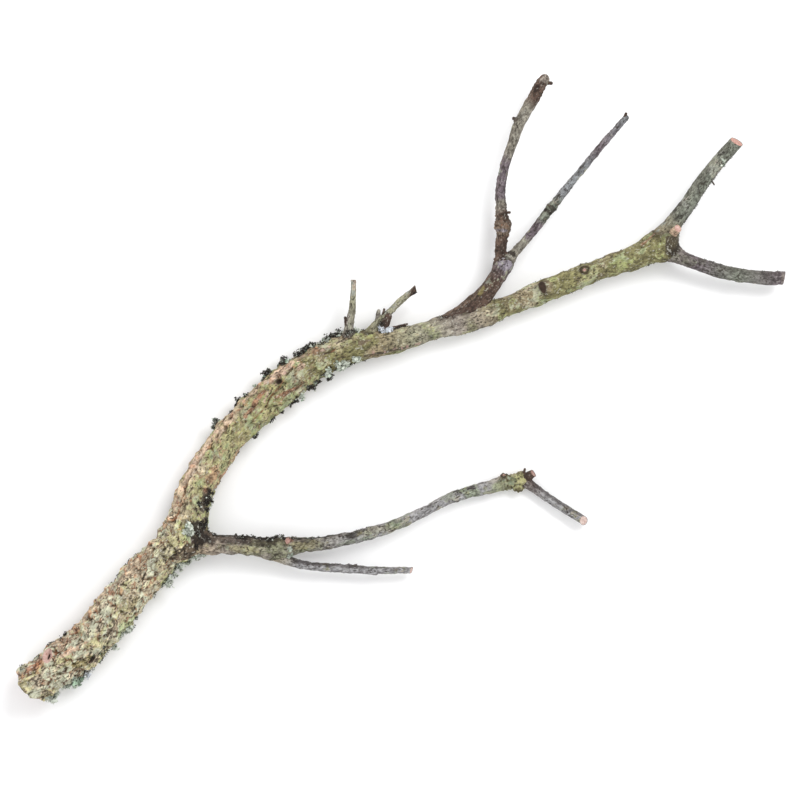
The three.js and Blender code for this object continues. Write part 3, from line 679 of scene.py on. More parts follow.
# distance walked and the colour there
TINT = {
    "stem": "0 rose, 90 cream, 150 cream, 190 sand, 260 cream, 330 sand, 400 olive, "
    "460 olive, 490 sage, 530 ash, 570 olive, 731 olive",
    "lower_limb": "0 tan, 40 ash, 110 stone, 160 grey, 200 grey, 280 grey, 316 sand",
    "lower_limb_side_twig": "0 sand, 30 grey, 131 grey",
    "lower_limb_tip_twig": "0 umber, 30 grey, 66 grey",
    "upper_limb": "0 brown, 30 umber, 76 umber, 93 plum",
    "upper_limb_left_twig": "0 umber, 26 umber, 30 brown, 48 umber, 52 ash, 57 stone, 61 plum, 95 plum, "
    "105 stone, 145 stone, 158 umber, 176 umber",
    "upper_limb_right_twig": "0 stone, 28 stone, 34 plum, 46 plum, 52 teal, 72 teal, 80 slate, 115 slate, "
    "135 plum, 171 slate",
    "end_fork_left_twig": "0 olive, 30 teal, 113 teal",
    "end_fork_right_twig": "0 stone, 30 plum, 70 teal, 114 plum",
    "short_spur_left": "0 umber, 12 stone, 40 sage, 57 ash",
    "short_spur_right": "0 olive, 20 sage, 56 sage, 62 umber",
}
for name, limb in LIMBS.items():
    limb["fresh"] = np.zeros_like(limb["rise"]) + FRESH.get(name, OLD_CUT)
    stations, colours = zip(*(pair.split() for pair in TINT[name].split(", ")))
    stations, colours = np.array(stations, float), np.array([BARK[colour] for colour in colours])
    wander = limb["run"][:, None] + 2.5 * noise(limb["skin"], 8.0)
    tint = np.stack([np.interp(wander, stations, colours[:, k]) for k in range(3)], axis=-1)
    limb["tint"] = tint + 0.45 * limb["blush"][..., None] * (BARK["blush"] - tint)
print(len(BARK), "bark colours")

# %% [markdown]
# ## Stains and patches
# Some colours sit in one place only: near-black at the forks and along the lower limb's +y side, which is
# painted shade, near-black bands on the young twigs, red-brown where bark has just flaked off, moss green
# where rain stands. A picture painted by hand could hold them. Here each is an oval set by a point seen from
# above, as the marks are, with a ragged edge. It also clears away the crust and the algae that it replaces.

# %% Set the stains and patches
# limb, x, y, length along the limb, width across it, turn in degrees, colour, strength
PATCHES = [
    # painted shade in the crotch of the first fork: this line and the next two
    ("stem", -177, -104, 34, 9, -4, "near_black", 0.9),
    ("stem", -182, -127, 28, 20, 0, "near_black", 0.95),
    ("lower_limb", -177, -135, 16, 12, 0, "near_black", 0.85),
    ("stem", -192, -146, 26, 18, -30, "umber", 0.8),
    ("stem", -257, -216, 15, 10, 0, "umber", 0.7),
    ("stem", -287, -247, 24, 13, 0, "moss", 0.75),
    ("stem", -329, -249, 24, 5, 5, "russet", 0.8),
    ("stem", -297, -235, 22, 6, -8, "blush", 0.9),
    ("stem", -281, -226, 14, 4, -8, "russet", 0.6),
    ("stem", -242, -196, 22, 6, 0, "moss", 0.5),
    ("stem", -212, -150, 24, 12, 0, "sage", 0.6),
    ("stem", -170, -78, 16, 12, 0, "moss", 0.5),
    ("stem", -143, -42, 22, 14, 0, "moss", 0.45),
    ("stem", -118, -20, 20, 12, 0, "moss", 0.4),
    ("stem", -64, 20, 20, 12, 0, "moss", 0.4),
    ("stem", -184, -66, 60, 8, 2, "blush", 0.7),
    ("stem", -160, -36, 40, 7, 4, "blush", 0.6),
    ("stem", -132, -3, 34, 7, 4, "blush", 0.6),
    ("stem", -109, 15, 48, 9, 0, "blush", 0.95),
    ("stem", -78, 32, 12, 7, 0, "russet", 0.5),
    ("stem", -90, 19, 9, 6, 0, "blush", 0.9),
    ("stem", -131, -14, 38, 4.2, 11, "russet", 0.75),
    ("stem", -104, -5, 26, 6, -18, "russet", 0.8),
    ("stem", -170, -80, 26, 9, 0, "russet", 0.55),
    ("stem", -158, -74, 22, 5, 0, "russet", 0.5),
    ("stem", -146, -62, 26, 7, 0, "russet", 0.55),
    ("stem", -152, -92, 28, 7, 0, "russet", 0.5),
    ("stem", -34, 41, 18, 5, 4, "brown", 0.7),
    ("stem", -12, 33, 48, 3, 0, "near_black", 0.75),
    ("stem", 222, 133, 18, 3, 12, "russet", 0.6),
    # painted shade in the crotch of the end fork
    ("stem", 248, 130, 7, 11, 0, "near_black", 0.65),
    # painted shade along the lower limb's +y side: this line, the next, and the ones at x -70 and 63
    ("lower_limb", -42, -131, 20, 7, 8, "near_black", 0.8),
    ("lower_limb", -130, -131.5, 92, 5, 0, "near_black", 0.85),
    ("lower_limb", -145, -145, 38, 8, 0, "moss", 0.45),
    ("lower_limb", -86, -141, 34, 9, 0, "moss", 0.45),
    ("lower_limb", -24, -128, 30, 8, 0, "moss", 0.35),
    ("lower_limb", -70, -134, 34, 4, 0, "near_black", 0.8),
    ("lower_limb", 63, -90, 9, 5, 0, "near_black", 0.8),
    ("upper_limb", 72, 88, 10, 6, 0, "moss", 0.6),
    ("lower_limb", -101, -137.5, 7, 5, 20, "russet", 0.6),
    ("upper_limb", 92, 109, 12, 10, 0, "lilac", 0.65),
    ("upper_limb_left_twig", 90, 141, 3.5, 12, 0, "lilac", 0.6),
    ("upper_limb_left_twig", 124, 269, 13, 7, 10, "umber", 0.9),
    ("upper_limb_left_twig", 131, 281, 7, 8, 0, "ash", 0.7),
    ("upper_limb_right_twig", 99, 120, 4, 10, 0, "near_black", 0.85),
    ("upper_limb_right_twig", 132, 159, 4, 10, 0, "near_black", 0.9),
    ("upper_limb_right_twig", 141, 172, 3, 4, 0, "near_black", 0.8),
    ("end_fork_right_twig", 343, 99, 4, 12, 0, "ash", 0.5),
    ("short_spur_left", -43.5, 93, 8, 7, 0, "blush", 0.35),
]
for name, x, y, length, width, turn, colour, strength in PATCHES:
    limb = LIMBS[name]
    q = oval_round(limb, x, y, length, width, turn) + 0.5 * layered(limb["skin"], 4.0, 4)
    share = strength * (1 - ease(0.7, 1.15, q))
    limb["tint"] += share[..., None] * (BARK[colour] - limb["tint"])
    for cover in ("crust", "algae", "crack"):
        limb[cover] *= 1 - 0.85 * share
print(len(PATCHES), "stains and patches")

# %% [markdown]
# ## Closing the ends
# A mesh that will be printed or simulated has to be closed. A cut end gets a flat face of bare wood, a
# little sunken in the middle, with a rim of bark. A tip that died back is rounded off. Each is a few more
# rings whose last one shrinks to a point.

# %% Rings that close an end
# a cut face's rings: the share of the edge's size, and how far each is sunk in mm
CUT_RINGS = [(0.97, 0.25), (0.9, 0.45), (0.84, 0.3), (0.7, 0.22), (0.5, 0.18), (0.3, 0.2), (0.12, 0.26)]
# how far a slanted cut leans, as a share of the radius, and the angle of the side that is left longer
SLANT = {
    "end_fork_left_twig": (0.55, 200),
    "end_fork_right_twig": (0.2, 110),
    "lower_limb_tip_twig": (0.9, 190),
    "lower_limb_side_twig": (0.5, 150),
    "short_spur_right": (0.5, 90),
}
BUTT_REACH = 26.0  # how far the lean of the butt's cut moves the bark along
VECTORS = ("tint", "way")  # three numbers a point: the bark's colour, and the straightened place
FEATURES = ("fresh", "crack", "tone", "lip", "hollow", "crust", "algae", "dark", "wood", "hole")  # one number


def ragged_start(limb, depth, overhang, inset, direction):
    """Tears the bark at the start of a limb: its first rings are pushed along by noise, up to depth either
    way. The saw leaned too, so the side at the given angle hangs over, by a cosine round the ring, and the
    rest is set in."""
    share = 1 - ease(0, 9, limb["run"])[:, None]
    push = share * depth * layered(limb["skin"], 9.0, 3)
    lean = overhang * np.maximum(np.cos(limb["angle"] - np.radians(direction)), 0) - inset
    push += (1 - ease(0, BUTT_REACH, limb["run"]))[:, None] * lean
    limb["body"] -= limb["along"][:, None] * push[..., None]


def slant_end(limb, lean, direction):
    """Shears the last 10 mm along the limb, so that the end face leans: by the lean times the radius on the
    side at the given angle, and as much the other way on the side across from it."""
    tilt = lean * limb["radius"][-1] * np.cos(limb["angle"] - np.radians(direction))
    share = ease(limb["run"][-1] - 10, limb["run"][-1], limb["run"])[:, None]
    limb["body"] += limb["along"][:, None] * (share * tilt)[..., None]


def end_rings(limb, row, kind):
    """Rings past one end. Cut: the edge shrinks to the middle, sunk by a given share of a millimetre.
    Round: it shrinks as a cosine while it moves on as a sine. Returns the rings, their features and the
    last point."""
    edge, centre = limb["body"][row], limb["centre"][row]
    ahead = limb["along"][row] * (1 if row == -1 else -1)
    features = {name: limb[name][row] for name in FEATURES}
    rings, values = [], []
    if kind == "round":
        for turn in np.linspace(0, np.pi / 2, 9)[1:-1]:
            rings.append(centre + (edge - centre) * np.cos(turn) + ahead * limb["radius"][row] * np.sin(turn))
            values.append(features)
        return rings, values, centre + ahead * limb["radius"][row]
    for share, sunk in CUT_RINGS:
        rings.append(centre + (edge - centre) * share - ahead * sunk)
        wood = np.full_like(features["wood"], float(share < 0.95))
        plain = {name: np.zeros_like(wood) for name in FEATURES}
        plain.update(wood=wood, tone=np.full_like(wood, np.sin(9 * share)), fresh=limb["fresh"][row])
        values.append(plain)
    return rings, values, centre - 0.3 * ahead


def whole_limb(limb, rows, start, stop):
    """All rings of a piece from one end to the other, the features and vectors of each point, the two end
    points, and the rings at which a cut face begins."""
    part = {k: v[rows] for k, v in limb.items() if isinstance(v, np.ndarray) and len(v) == len(limb["run"])}
    part["angle"] = limb["angle"]
    before, before_values, first = end_rings(part, 0, start)
    after, after_values, last = end_rings(part, -1, stop)
    rings = np.concatenate([np.array(before)[::-1], part["body"], np.array(after)])
    features = {}
    for name in FEATURES:
        early, late = ([v[name] for v in values] for values in (before_values[::-1], after_values))
        features[name] = np.concatenate([early, part[name], late])
    early, late = rings[: len(before)] - part["body"][0], rings[-len(after) :] - part["body"][-1]
    tints = [[part["tint"][0]] * len(before), part["tint"], [part["tint"][-1]] * len(after)]
    ways = [part["way"][0] + early, part["way"], part["way"][-1] + late]
    vectors = {"tint": np.concatenate(tints), "way": np.concatenate(ways)}
    edges = [len(before)] if start == "cut" else []
    edges += [len(before) + len(part["body"]) - 1] if stop == "cut" else []
    return rings, features, vectors, first, last, edges


print("end shapes:", sorted(set(ENDS.values())))

# %% [markdown]
# ## Stubs
# A stub is a side shoot that was cut or torn off. It is a short cone with the same kind of end as a limb,
# and it is part of its limb's mesh, sunk a little into it.

# %% A stub's rings
# limb, foot, tip, radius, kind, bark colour
# kinds: cut, round, torn, and old for a cut whose wood has weathered
STUBS = [
    ("stem", (240, 136, 24), (247, 142, 36), 3.9, "cut", "rose"),
    ("stem", (-17, 53, 19), (-12, 64, 22), 3.9, "round", "umber"),
    ("lower_limb", (-104, -141, 20), (-102, -137, 23), 2.4, "torn", "umber"),
    ("lower_limb", (112, -82, 8), (119, -77, 12), 3.9, "old", "umber"),
    ("lower_limb", (110, -80, 8), (111.5, -73.5, 11), 1.2, "round", "umber"),
    ("upper_limb_left_twig", (128, 274, 23), (134.5, 273.5, 24), 1.7, "round", "umber"),
    ("upper_limb_left_twig", (90, 157, 22), (97, 157.5, 24), 1.3, "round", "umber"),
    ("upper_limb_left_twig", (104, 240, 22), (100.8, 242, 23), 1.7, "round", "umber"),
    ("upper_limb_right_twig", (200, 241, 20), (202, 246.5, 21), 1.5, "round", "umber"),
    ("short_spur_right", (-22, 60, 20), (-20.5, 69, 22), 1.9, "round", "stone"),
    ("short_spur_right", (-17, 64, 21), (-15.5, 70.5, 23), 1.1, "round", "umber"),
    ("short_spur_left", (-49, 48, 21), (-50.5, 63, 23), 1.4, "round", "umber"),
    ("end_fork_left_twig", (277, 189, 22), (281, 182.5, 23), 0.7, "round", "umber"),
    ("stem", (-12, 53, 18), (5, 57.3, 20), 1.1, "round", "umber"),
]
STUB_COLUMNS = 28  # points round a stub
STUB_STEP = 0.6  # mm between its rings


def stub_grid(foot, tip, radius, kind, colour, fresh, seed):
    """A short limb from foot to tip: the radius shrinks evenly from 1.2 to 0.9 times its size, under fine
    noise. A torn one has a jagged edge and bare wood towards it."""
    points = np.array([foot, tip], float)
    rows = max(6, int(np.linalg.norm(points[1] - points[0]) / STUB_STEP))
    share = np.linspace(0, 1, rows)[:, None]
    stub = {"centre": points[0] * (1 - share) + points[1] * share, "run": share[:, 0] * 10}
    stub["along"] = np.repeat(unit(points[1] - points[0])[None], rows, axis=0)
    stub["left"] = unit(np.cross([0.1, 0.2, 1.0], stub["along"]))
    stub["over"] = np.cross(stub["along"], stub["left"])
    stub["radius"] = radius * (1.2 - 0.3 * share[:, 0])
    stub["angle"] = np.linspace(0, 2 * np.pi, STUB_COLUMNS, endpoint=False)
    cosine, sine = np.cos(stub["angle"])[:, None], np.sin(stub["angle"])[:, None]
    out = stub["over"][:, None] * cosine + stub["left"][:, None] * sine
    skin = stub["centre"][:, None] + out * stub["radius"][:, None, None]
    bumps = radius * (0.14 * noise(skin, radius) + 0.08 * noise(skin, radius / 2))
    stub["body"] = skin + out * bumps[..., None]
    zero = np.zeros(bumps.shape)
    for name in FEATURES:
        stub[name] = zero
    stub["tone"] = noise(skin, 2.0)
    stub["dark"] = 0.35 + 0.3 * noise(skin, 3.0)
    if kind == "torn":
        jag = 1.6 * radius * np.abs(noise(out[-1] * 3 + seed, 1.0)) ** 0.7
        stub["body"][-1] += stub["along"][-1] * jag[:, None]
        stub["wood"] = np.repeat(ease(0.3, 0.6, share), STUB_COLUMNS, axis=1)
    stub["fresh"] = zero + fresh
    stub["way"] = stub["body"]
    stub["tint"] = np.broadcast_to(BARK[colour], (*bumps.shape, 3))
    made = whole_limb(stub, slice(None), "cut", "round" if kind == "round" else "cut")
    if kind == "old":
        made[1]["wood"] = 0.5 * made[1]["wood"]
    return made


print(len(STUBS), "stubs")

# %% [markdown]
# ## From grids to meshes
# All rings of a limb and of its stubs become one mesh: vertices, triangles and quads, and one value per
# vertex for each feature. foreach_set hands whole arrays to Blender at once, which is far quicker than a
# loop. Points that would be under the floor are lifted to it, as on wood that is worn flat where it lies.

# %% Build a closed mesh
LOWEST = 0.02  # height of the lowest point, in mm over the floor


def tube_faces(rows, columns, start):
    """Quads between neighbouring rings, and triangles from each end ring to its point, all facing out."""
    i = np.arange(columns)
    j = (i + 1) % columns
    base = (start + np.arange(rows - 1) * columns)[:, None]
    quads = np.stack([base + i, base + columns + i, base + columns + j, base + j], axis=-1).reshape(-1, 4)
    first, last = start + rows * columns, start + rows * columns + 1
    top = start + (rows - 1) * columns
    fans = [np.stack([np.full(columns, first), i + start, j + start], axis=-1)]
    fans.append(np.stack([np.full(columns, last), top + j, top + i], axis=-1))
    return quads, np.concatenate(fans)


def make_piece(name, vertices, quads, triangles, values, edge_group=None):
    """A mesh object from arrays in millimetres, with an attribute for each array of values: a number or
    three for each point. An edge between two points of the same edge group is sharp."""
    mesh = bpy.data.meshes.new(name)
    vertices = vertices.copy()
    vertices[:, 2] = np.maximum(vertices[:, 2], LOWEST)
    corners = np.concatenate([quads.ravel(), triangles.ravel()])
    starts = np.concatenate([np.arange(len(quads)) * 4, 4 * len(quads) + np.arange(len(triangles)) * 3])
    mesh.vertices.add(len(vertices))
    mesh.vertices.foreach_set("co", (vertices * MM).ravel())
    mesh.loops.add(len(corners))
    mesh.loops.foreach_set("vertex_index", corners.astype(np.int32))
    mesh.polygons.add(len(starts))
    mesh.polygons.foreach_set("loop_start", starts.astype(np.int32))
    mesh.update(calc_edges=True)
    mesh.validate()
    mesh.polygons.foreach_set("use_smooth", np.ones(len(mesh.polygons), bool))
    if edge_group is not None:
        ends = np.empty(2 * len(mesh.edges), np.int32)
        mesh.edges.foreach_get("vertices", ends)
        groups = edge_group[ends.reshape(-1, 2)]
        mesh.edges.foreach_set("use_edge_sharp", (groups[:, 0] > 0) & (groups[:, 0] == groups[:, 1]))
    for key, value in values.items():
        kind, field = ("FLOAT", "value") if value.ndim == 1 else ("FLOAT_VECTOR", "vector")
        mesh.attributes.new(key, kind, "POINT").data.foreach_set(field, value.ravel().astype(np.float32))
    piece = bpy.data.objects.new(name, mesh)
    bpy.context.scene.collection.objects.link(piece)
    return piece


def join_grids(name, grids):
    """One mesh of several closed tubes: the points and faces of each are added after those before."""
    vertices, quads, triangles, groups = [], [], [], []
    values = {key: [] for key in FEATURES + VECTORS}
    count = 0
    for rings, features, vectors, first, last, edges in grids:
        rows, columns = rings.shape[:2]
        q, t = tube_faces(rows, columns, count)
        quads.append(q)
        triangles.append(t)
        vertices += [rings.reshape(-1, 3), first[None], last[None]]
        for key in VECTORS:
            values[key] += [vectors[key].reshape(-1, 3), vectors[key][0, :1], vectors[key][-1, :1]]
        for key in FEATURES:
            values[key] += [features[key].ravel(), features[key][0, :1], features[key][-1, :1]]
        group = np.zeros(rows * columns + 2, int)
        for edge in edges:
            group[edge * columns : (edge + 1) * columns] = count + edge + 1
        groups.append(group)
        count += rows * columns + 2
    values = {key: np.concatenate(v) for key, v in values.items()}
    parts = [np.concatenate(v) for v in (vertices, quads, triangles)]
    return make_piece(name, *parts, values, np.concatenate(groups))


print("4 rings of 6 points make", [len(faces) for faces in tube_faces(4, 6, 0)], "quads and triangles")

# %% [markdown]
# Now every limb is made: the skin is raised by all that was added up, and its ends are torn or slanted.
# Each piece also keeps its straightened place as "way", squeezed along the limb. Noise that is read from it
# gives grains longer than wide, which follow the limb as fibres do. The stem is cut at the forks where the
# solid one is.

# %% Make all limbs
FIBRE_STRETCH = 1.7  # how much longer than wide the grains of the bark are
BUTT = {"depth": 2.4, "overhang": 8.6, "inset": 4.6, "direction": 16}  # how its saw cut is torn and leans
for seed, limb in enumerate(LIMBS.values()):
    limb["body"] = limb["skin"] + limb["out"] * limb["rise"][..., None]
    limb["way"] = straightened(limb) / np.array([FIBRE_STRETCH, 1, 1]) + 40 * seed

PIECES = {}
stem = LIMBS["stem"]
ragged_start(stem, **BUTT)
cuts = [0, *np.searchsorted(stem["run"], STEM_CUTS), len(stem["run"]) - 1]
for k, name in enumerate(("main_stem_base", "main_stem_middle", "main_stem_upper")):
    rows = slice(cuts[k], cuts[k + 1] + 1)
    grids = [whole_limb(stem, rows, "cut", "cut" if k < 2 else "round")]
    for seed, (owner, foot, *rest) in enumerate(STUBS):
        row, _ = station(stem, *foot[:2])
        if owner == "stem" and np.searchsorted(cuts[1:3], row) == k:
            grids.append(stub_grid(foot, *rest, FRESH["stem"], seed))
    PIECES[name] = join_grids(name + "_bark", grids)
for name, limb in LIMBS.items():
    if name == "stem":
        continue
    if name in SLANT:
        slant_end(limb, *SLANT[name])
    grids = [whole_limb(limb, slice(None), "cut", ENDS[name])]
    mine = [(seed, rest) for seed, (owner, *rest) in enumerate(STUBS) if owner == name]
    grids += [stub_grid(*rest, FRESH.get(name, OLD_CUT), seed) for seed, rest in mine]
    PIECES[name] = join_grids(name + "_bark", grids)
print({name: len(piece.data.polygons) for name, piece in PIECES.items()})

# %% [markdown]
# ## Leafy lichen and dark crumbs
# Tufts of leafy lichen and blackish liverwort cling to the damp edges and to the crotch of the fork. Each
# tuft is many small lobes in clumps. A particle system could scatter them, but its copies are lost when the
# model is exported. So one lobe is worked out for all at once: a cupped, wavy disc with a closed underside,
# of only a few dozen faces.

# %% Where the tufts sit
# limb, from and to along it, angle in degrees, spread, lobes, size, how pale, how green
TUFTS = [
    ("stem", 4, 34, -79, 14, 190, 3.2, 0.85, 0.15),
    ("stem", 23, 42, -92, 18, 230, 4.4, 0.85, 0.55),
    ("stem", 40, 50, -98, 14, 80, 3.4, 1.0, -0.7),
    ("stem", 30, 44, -118, 14, 30, 3.6, 0.95, 0.3),
    ("stem", 46, 78, -92, 12, 50, 2.2, 0.2, 0.5),
    ("stem", 62, 76, -40, 22, 50, 2.0, 0.05, 0.5),
    ("stem", 78, 100, -86, 16, 140, 3.4, 0.85, 0.15),
    ("stem", 100, 125, -90, 14, 80, 2.4, 0.3, 0.3),
    ("stem", 125, 160, -94, 12, 60, 1.8, 0.15, 0.4),
    ("stem", 148, 186, -92, 16, 200, 3.2, 0.9, 0.15),
    ("stem", 168, 186, -92, 22, 70, 2.2, 0.2, 0.5),
    ("stem", 194, 240, -62, 24, 700, 2.2, -0.05, 0.3),
    ("stem", 198, 213, -24, 12, 170, 3.0, 0.95, 0.1),
    ("stem", 226, 244, -78, 12, 60, 1.5, 0.9, 0.0),
    ("stem", 240, 300, -94, 9, 70, 1.6, 0.1, 0.5),
    ("stem", 306, 320, -92, 12, 60, 2.2, 0.05, 0.4),
    ("stem", 328, 345, -90, 12, 60, 2.5, 0.08, 0.4),
    ("stem", 346, 362, -82, 16, 80, 2.6, 0.05, 0.3),
    ("stem", 364, 378, -82, 16, 60, 2.8, 0.85, 0.2),
    ("stem", 374, 404, -82, 22, 230, 2.9, 0.15, 0.3),
    ("stem", 396, 416, -52, 20, 110, 3.0, 0.8, 0.3),
    ("stem", 412, 436, -50, 18, 160, 3.0, 0.95, 0.1),
    ("stem", 404, 440, -84, 14, 100, 2.0, 0.2, 0.3),
    ("stem", 4, 24, 78, 16, 60, 1.8, 0.15, 0.3),
    ("stem", 36, 58, 84, 12, 50, 2.0, 0.1, 0.3),
    ("stem", 95, 165, 90, 9, 90, 1.6, 0.12, 0.3),
    ("stem", 286, 297, 90, 10, 70, 2.8, 0.42, 0.3),
    ("stem", 306, 330, 88, 12, 110, 2.7, 0.04, 0.3),
    ("stem", 340, 352, 94, 12, 30, 2.4, 0.8, 0.3),
    ("stem", 352, 396, 86, 16, 300, 3.0, 0.16, 0.3),
    ("stem", 358, 376, 80, 14, 50, 2.6, 0.7, 0.7),
    ("stem", 390, 436, 82, 18, 260, 3.2, 0.2, 0.3),
    ("stem", 400, 440, 72, 16, 110, 2.6, 0.75, 0.25),
    ("stem", 430, 478, 76, 14, 260, 2.0, 0.0, 0.3),
    ("stem", 404, 440, 60, 16, 150, 1.9, 0.0, 0.3),
    ("stem", 456, 472, 64, 10, 300, 3.2, 1.0, -0.9),
    ("stem", 470, 486, 76, 8, 50, 1.8, 0.03, 0.2),
    ("stem", 515, 528, 60, 20, 30, 1.6, 0.05, 0.3),
    ("stem", 500, 715, -84, 14, 150, 1.4, 0.1, 0.3),
    ("stem", 560, 700, 86, 12, 90, 1.4, 0.1, 0.3),
    ("lower_limb", 8, 84, 82, 14, 170, 1.8, 0.02, 0.3),
    ("lower_limb", 4, 24, -80, 20, 70, 2.6, 0.75, 0.2),
    ("lower_limb", 76, 104, 70, 26, 160, 2.1, 0.02, 0.2),
    ("lower_limb", 88, 98, -30, 20, 60, 2.2, 0.85, 0.3),
    ("lower_limb", 78, 92, -96, 14, 40, 1.6, 0.06, 0.2),
    ("lower_limb", 100, 124, 78, 16, 60, 1.6, 0.25, 0.2),
    ("lower_limb", 150, 172, 60, 30, 50, 1.4, 0.05, 0.2),
    ("lower_limb", 250, 268, 75, 15, 30, 1.4, 0.08, 0.2),
    ("lower_limb_side_twig", 10, 90, 84, 12, 60, 1.2, 0.06, 0.2),
    ("short_spur_right", 16, 26, -60, 40, 60, 2.6, 0.06, 0.0),
    ("short_spur_right", 60, 67, -30, 60, 24, 1.6, 0.05, 0.1),
    ("short_spur_left", 4, 14, 20, 60, 50, 2.0, 0.2, 0.2),
    ("end_fork_left_twig", 88, 96, -30, 24, 24, 1.8, 0.9, 0.3),
    ("end_fork_left_twig", 4, 104, -84, 14, 90, 1.4, 0.1, 0.2),
    ("end_fork_right_twig", 10, 110, 84, 14, 60, 1.2, 0.08, 0.2),
]
print(len(TUFTS), "tufts")

# %% [markdown]
# The lobes of a tuft stand in clumps, and each leans its own way, so that light catches some and misses
# others. All lobes of a tuft are worked out at once, as arrays with one row for each.

# %% Work out the lobes
RIM = 9  # points round a lobe
CLUMP_SPACING = 3.8  # mm between clumps, on average
PALE_FROM = 0.4  # how pale a tuft of leafy lichen is at least
CRUMB_SIZE = 0.72  # a crumb is this much smaller than a lobe of leafy lichen
CRUMB_NUMBER = 1.32  # and there are this many times more of them
SPECK_SHARE = 0.1  # share of crumbs that are pale
STAND = 3.4  # how far a tuft of large lobes stands off the bark


def lobes(limb, start, stop, angle, spread, number, size, pale, green):
    """Lobes on a limb's skin. Each is a disc in its own leaning plane: the rim's radius and height are
    waves of the angle round it, the middle is cupped, and one point closes the underside."""
    leafy = pale >= PALE_FROM
    number = int(number * (1 if leafy else CRUMB_NUMBER))
    reach = np.radians(spread) * limb["radius"][0]
    clump = rng.uniform(start, stop, max(2, int((stop - start) * max(1.0, reach / 4) / CLUMP_SPACING)))
    middle = np.radians(rng.normal(angle, spread * 0.55, len(clump)))
    member = rng.integers(0, len(clump), number)
    run = clump[member] + rng.normal(0, CLUMP_SPACING * 0.3, number)
    stand = STAND * max(0.0, size - 1.3) * (rng.uniform(0, 1, len(clump)) ** 1.5)[member]
    row = np.searchsorted(limb["run"], run).clip(0, len(limb["run"]) - 1)
    turned = middle[member] + rng.normal(0, CLUMP_SPACING * 0.3, number) / limb["radius"][row]
    columns = len(limb["angle"])
    column = np.round(turned / (2 * np.pi) * columns).astype(int) % columns
    place, out, along = limb["body"][row, column], limb["out"][row, column], limb["along"][row]
    normal = unit(out + 0.75 * rng.normal(size=(number, 3)))
    first = unit(np.cross(normal, along + 0.3 * rng.normal(size=(number, 3))))
    second = np.cross(normal, first)
    width = size * 0.5 * rng.uniform(0.45, 1.2, number) * (1 if leafy else CRUMB_SIZE)
    lift = width * rng.uniform(0.05, 0.75, number) + stand * rng.uniform(0, 1, number)
    place = place + out * lift[:, None]
    turn = np.linspace(0, 2 * np.pi, RIM, endpoint=False)[None]
    phase = rng.uniform(0, 2 * np.pi, (number, 1))
    wave = 1 + 0.28 * np.sin(3 * turn + phase) + 0.15 * rng.normal(size=(number, RIM))
    ruffle = 0.3 + 0.28 * np.sin(2 * turn + phase) + 0.12 * rng.normal(size=(number, RIM))

    def at(share, height):
        """Points at a share of the rim's radius and a height, both in half widths."""
        steps = np.stack(np.broadcast_arrays(share * np.cos(turn), share * np.sin(turn), height), axis=-1)
        return place[:, None] + (steps * width[:, None, None]) @ np.stack([first, second, normal], axis=1)

    centre = np.zeros((number, 1))
    top, bottom = at(centre, centre + 0.06)[:, :1], at(centre, centre - 0.16)[:, :1]
    points = np.concatenate([top, at(0.55 * wave, ruffle * 0.35 + 0.04), at(wave, ruffle), bottom], axis=1)
    speck = (rng.random((number, 1)) < SPECK_SHARE) * 0.8
    shade = np.clip(pale + speck + 0.22 * rng.normal(size=(number, 1)), 0, 1)
    shade = shade * np.r_[0.8, np.ones(RIM) * 0.95, np.ones(RIM) * 1.1, 0.1]
    hue = np.clip(green + 0.2 * rng.normal(size=(number, 1)), -1, 1) + 0 * shade
    return points, shade, hue


def lobe_faces(number):
    """Triangles of all lobes: a fan round the top, a band out to the rim, and a fan round the bottom."""
    i = np.arange(RIM)
    j = (i + 1) % RIM
    top, half, rim, bottom = 0 * i, 1 + i, 1 + RIM + i, 0 * i + 1 + 2 * RIM
    next_half, next_rim = 1 + j, 1 + RIM + j
    one = [[top, half, next_half], [bottom, next_rim, rim]]
    one += [[half, rim, next_rim], [half, next_rim, next_half]]
    one = np.concatenate([np.stack(triangle, axis=-1) for triangle in one])
    return (one + (np.arange(number) * (2 + 2 * RIM))[:, None, None]).reshape(-1, 3)


print("one lobe has", len(lobe_faces(1)), "triangles")

# %% [markdown]
# Pale lichen and dark crumbs are two different living things, so each is a mesh of its own. The tufts are
# grown last, because they sit on the finished bark.

# %% Grow the tufts
def tuft_piece(name, tufts):
    """One mesh of the lobes of all the given tufts."""
    made = [lobes(LIMBS[limb], *rest) for limb, *rest in tufts]
    points, shade, hue = (np.concatenate([m[k] for m in made]) for k in range(3))
    values = {"shade": shade.ravel(), "hue": hue.ravel()}
    no_quads = np.zeros((0, 4), int)
    return make_piece(name, points.reshape(-1, 3), no_quads, lobe_faces(len(points)), values)


PIECES["leafy_lichen"] = tuft_piece("leafy_lichen", [t for t in TUFTS if t[7] >= PALE_FROM])
PIECES["dark_crumbs"] = tuft_piece("dark_crumbs", [t for t in TUFTS if t[7] < PALE_FROM])
print("lobes:", {key: len(PIECES[key].data.polygons) // (4 * RIM) for key in ("leafy_lichen", "dark_crumbs")})

# %% [markdown]
# ## Materials
# Colour comes from the covers that were worked out above, and each is broken up by finer noise in the
# material, down to grains of about a millimetre, which is as fine as the picture shows. The bark's noise is
# read from the piece's own attribute, the straightened place, so that its grains run along each limb. It
# could be painted as an image instead, but then it would be blurred near by and would need an unwrapped
# mesh.

# %% Helpers for the node trees
SOFT = {"interpolation_type": "SMOOTHSTEP"}
FILM = {"data_type": "RGBA", "blend_type": "MULTIPLY"}


def node(tree, kind, *inputs, out=0, **settings):
    """Adds a node and returns one of its outputs. Settings are its properties. Inputs fill its sockets in
    order, or by a dict's names or numbers. Another node's output is linked, any other value is set."""
    made = tree.nodes.new("ShaderNode" + kind)
    for key, value in settings.items():
        setattr(made, key, value)
    filled = {}
    for place, value in enumerate(inputs):
        filled.update(value if isinstance(value, dict) else {place: value})
    for key, value in filled.items():
        if isinstance(value, bpy.types.NodeSocket):
            tree.links.new(value, made.inputs[key])
        else:
            made.inputs[key].default_value = value
    return made.outputs[out] if made.outputs else None


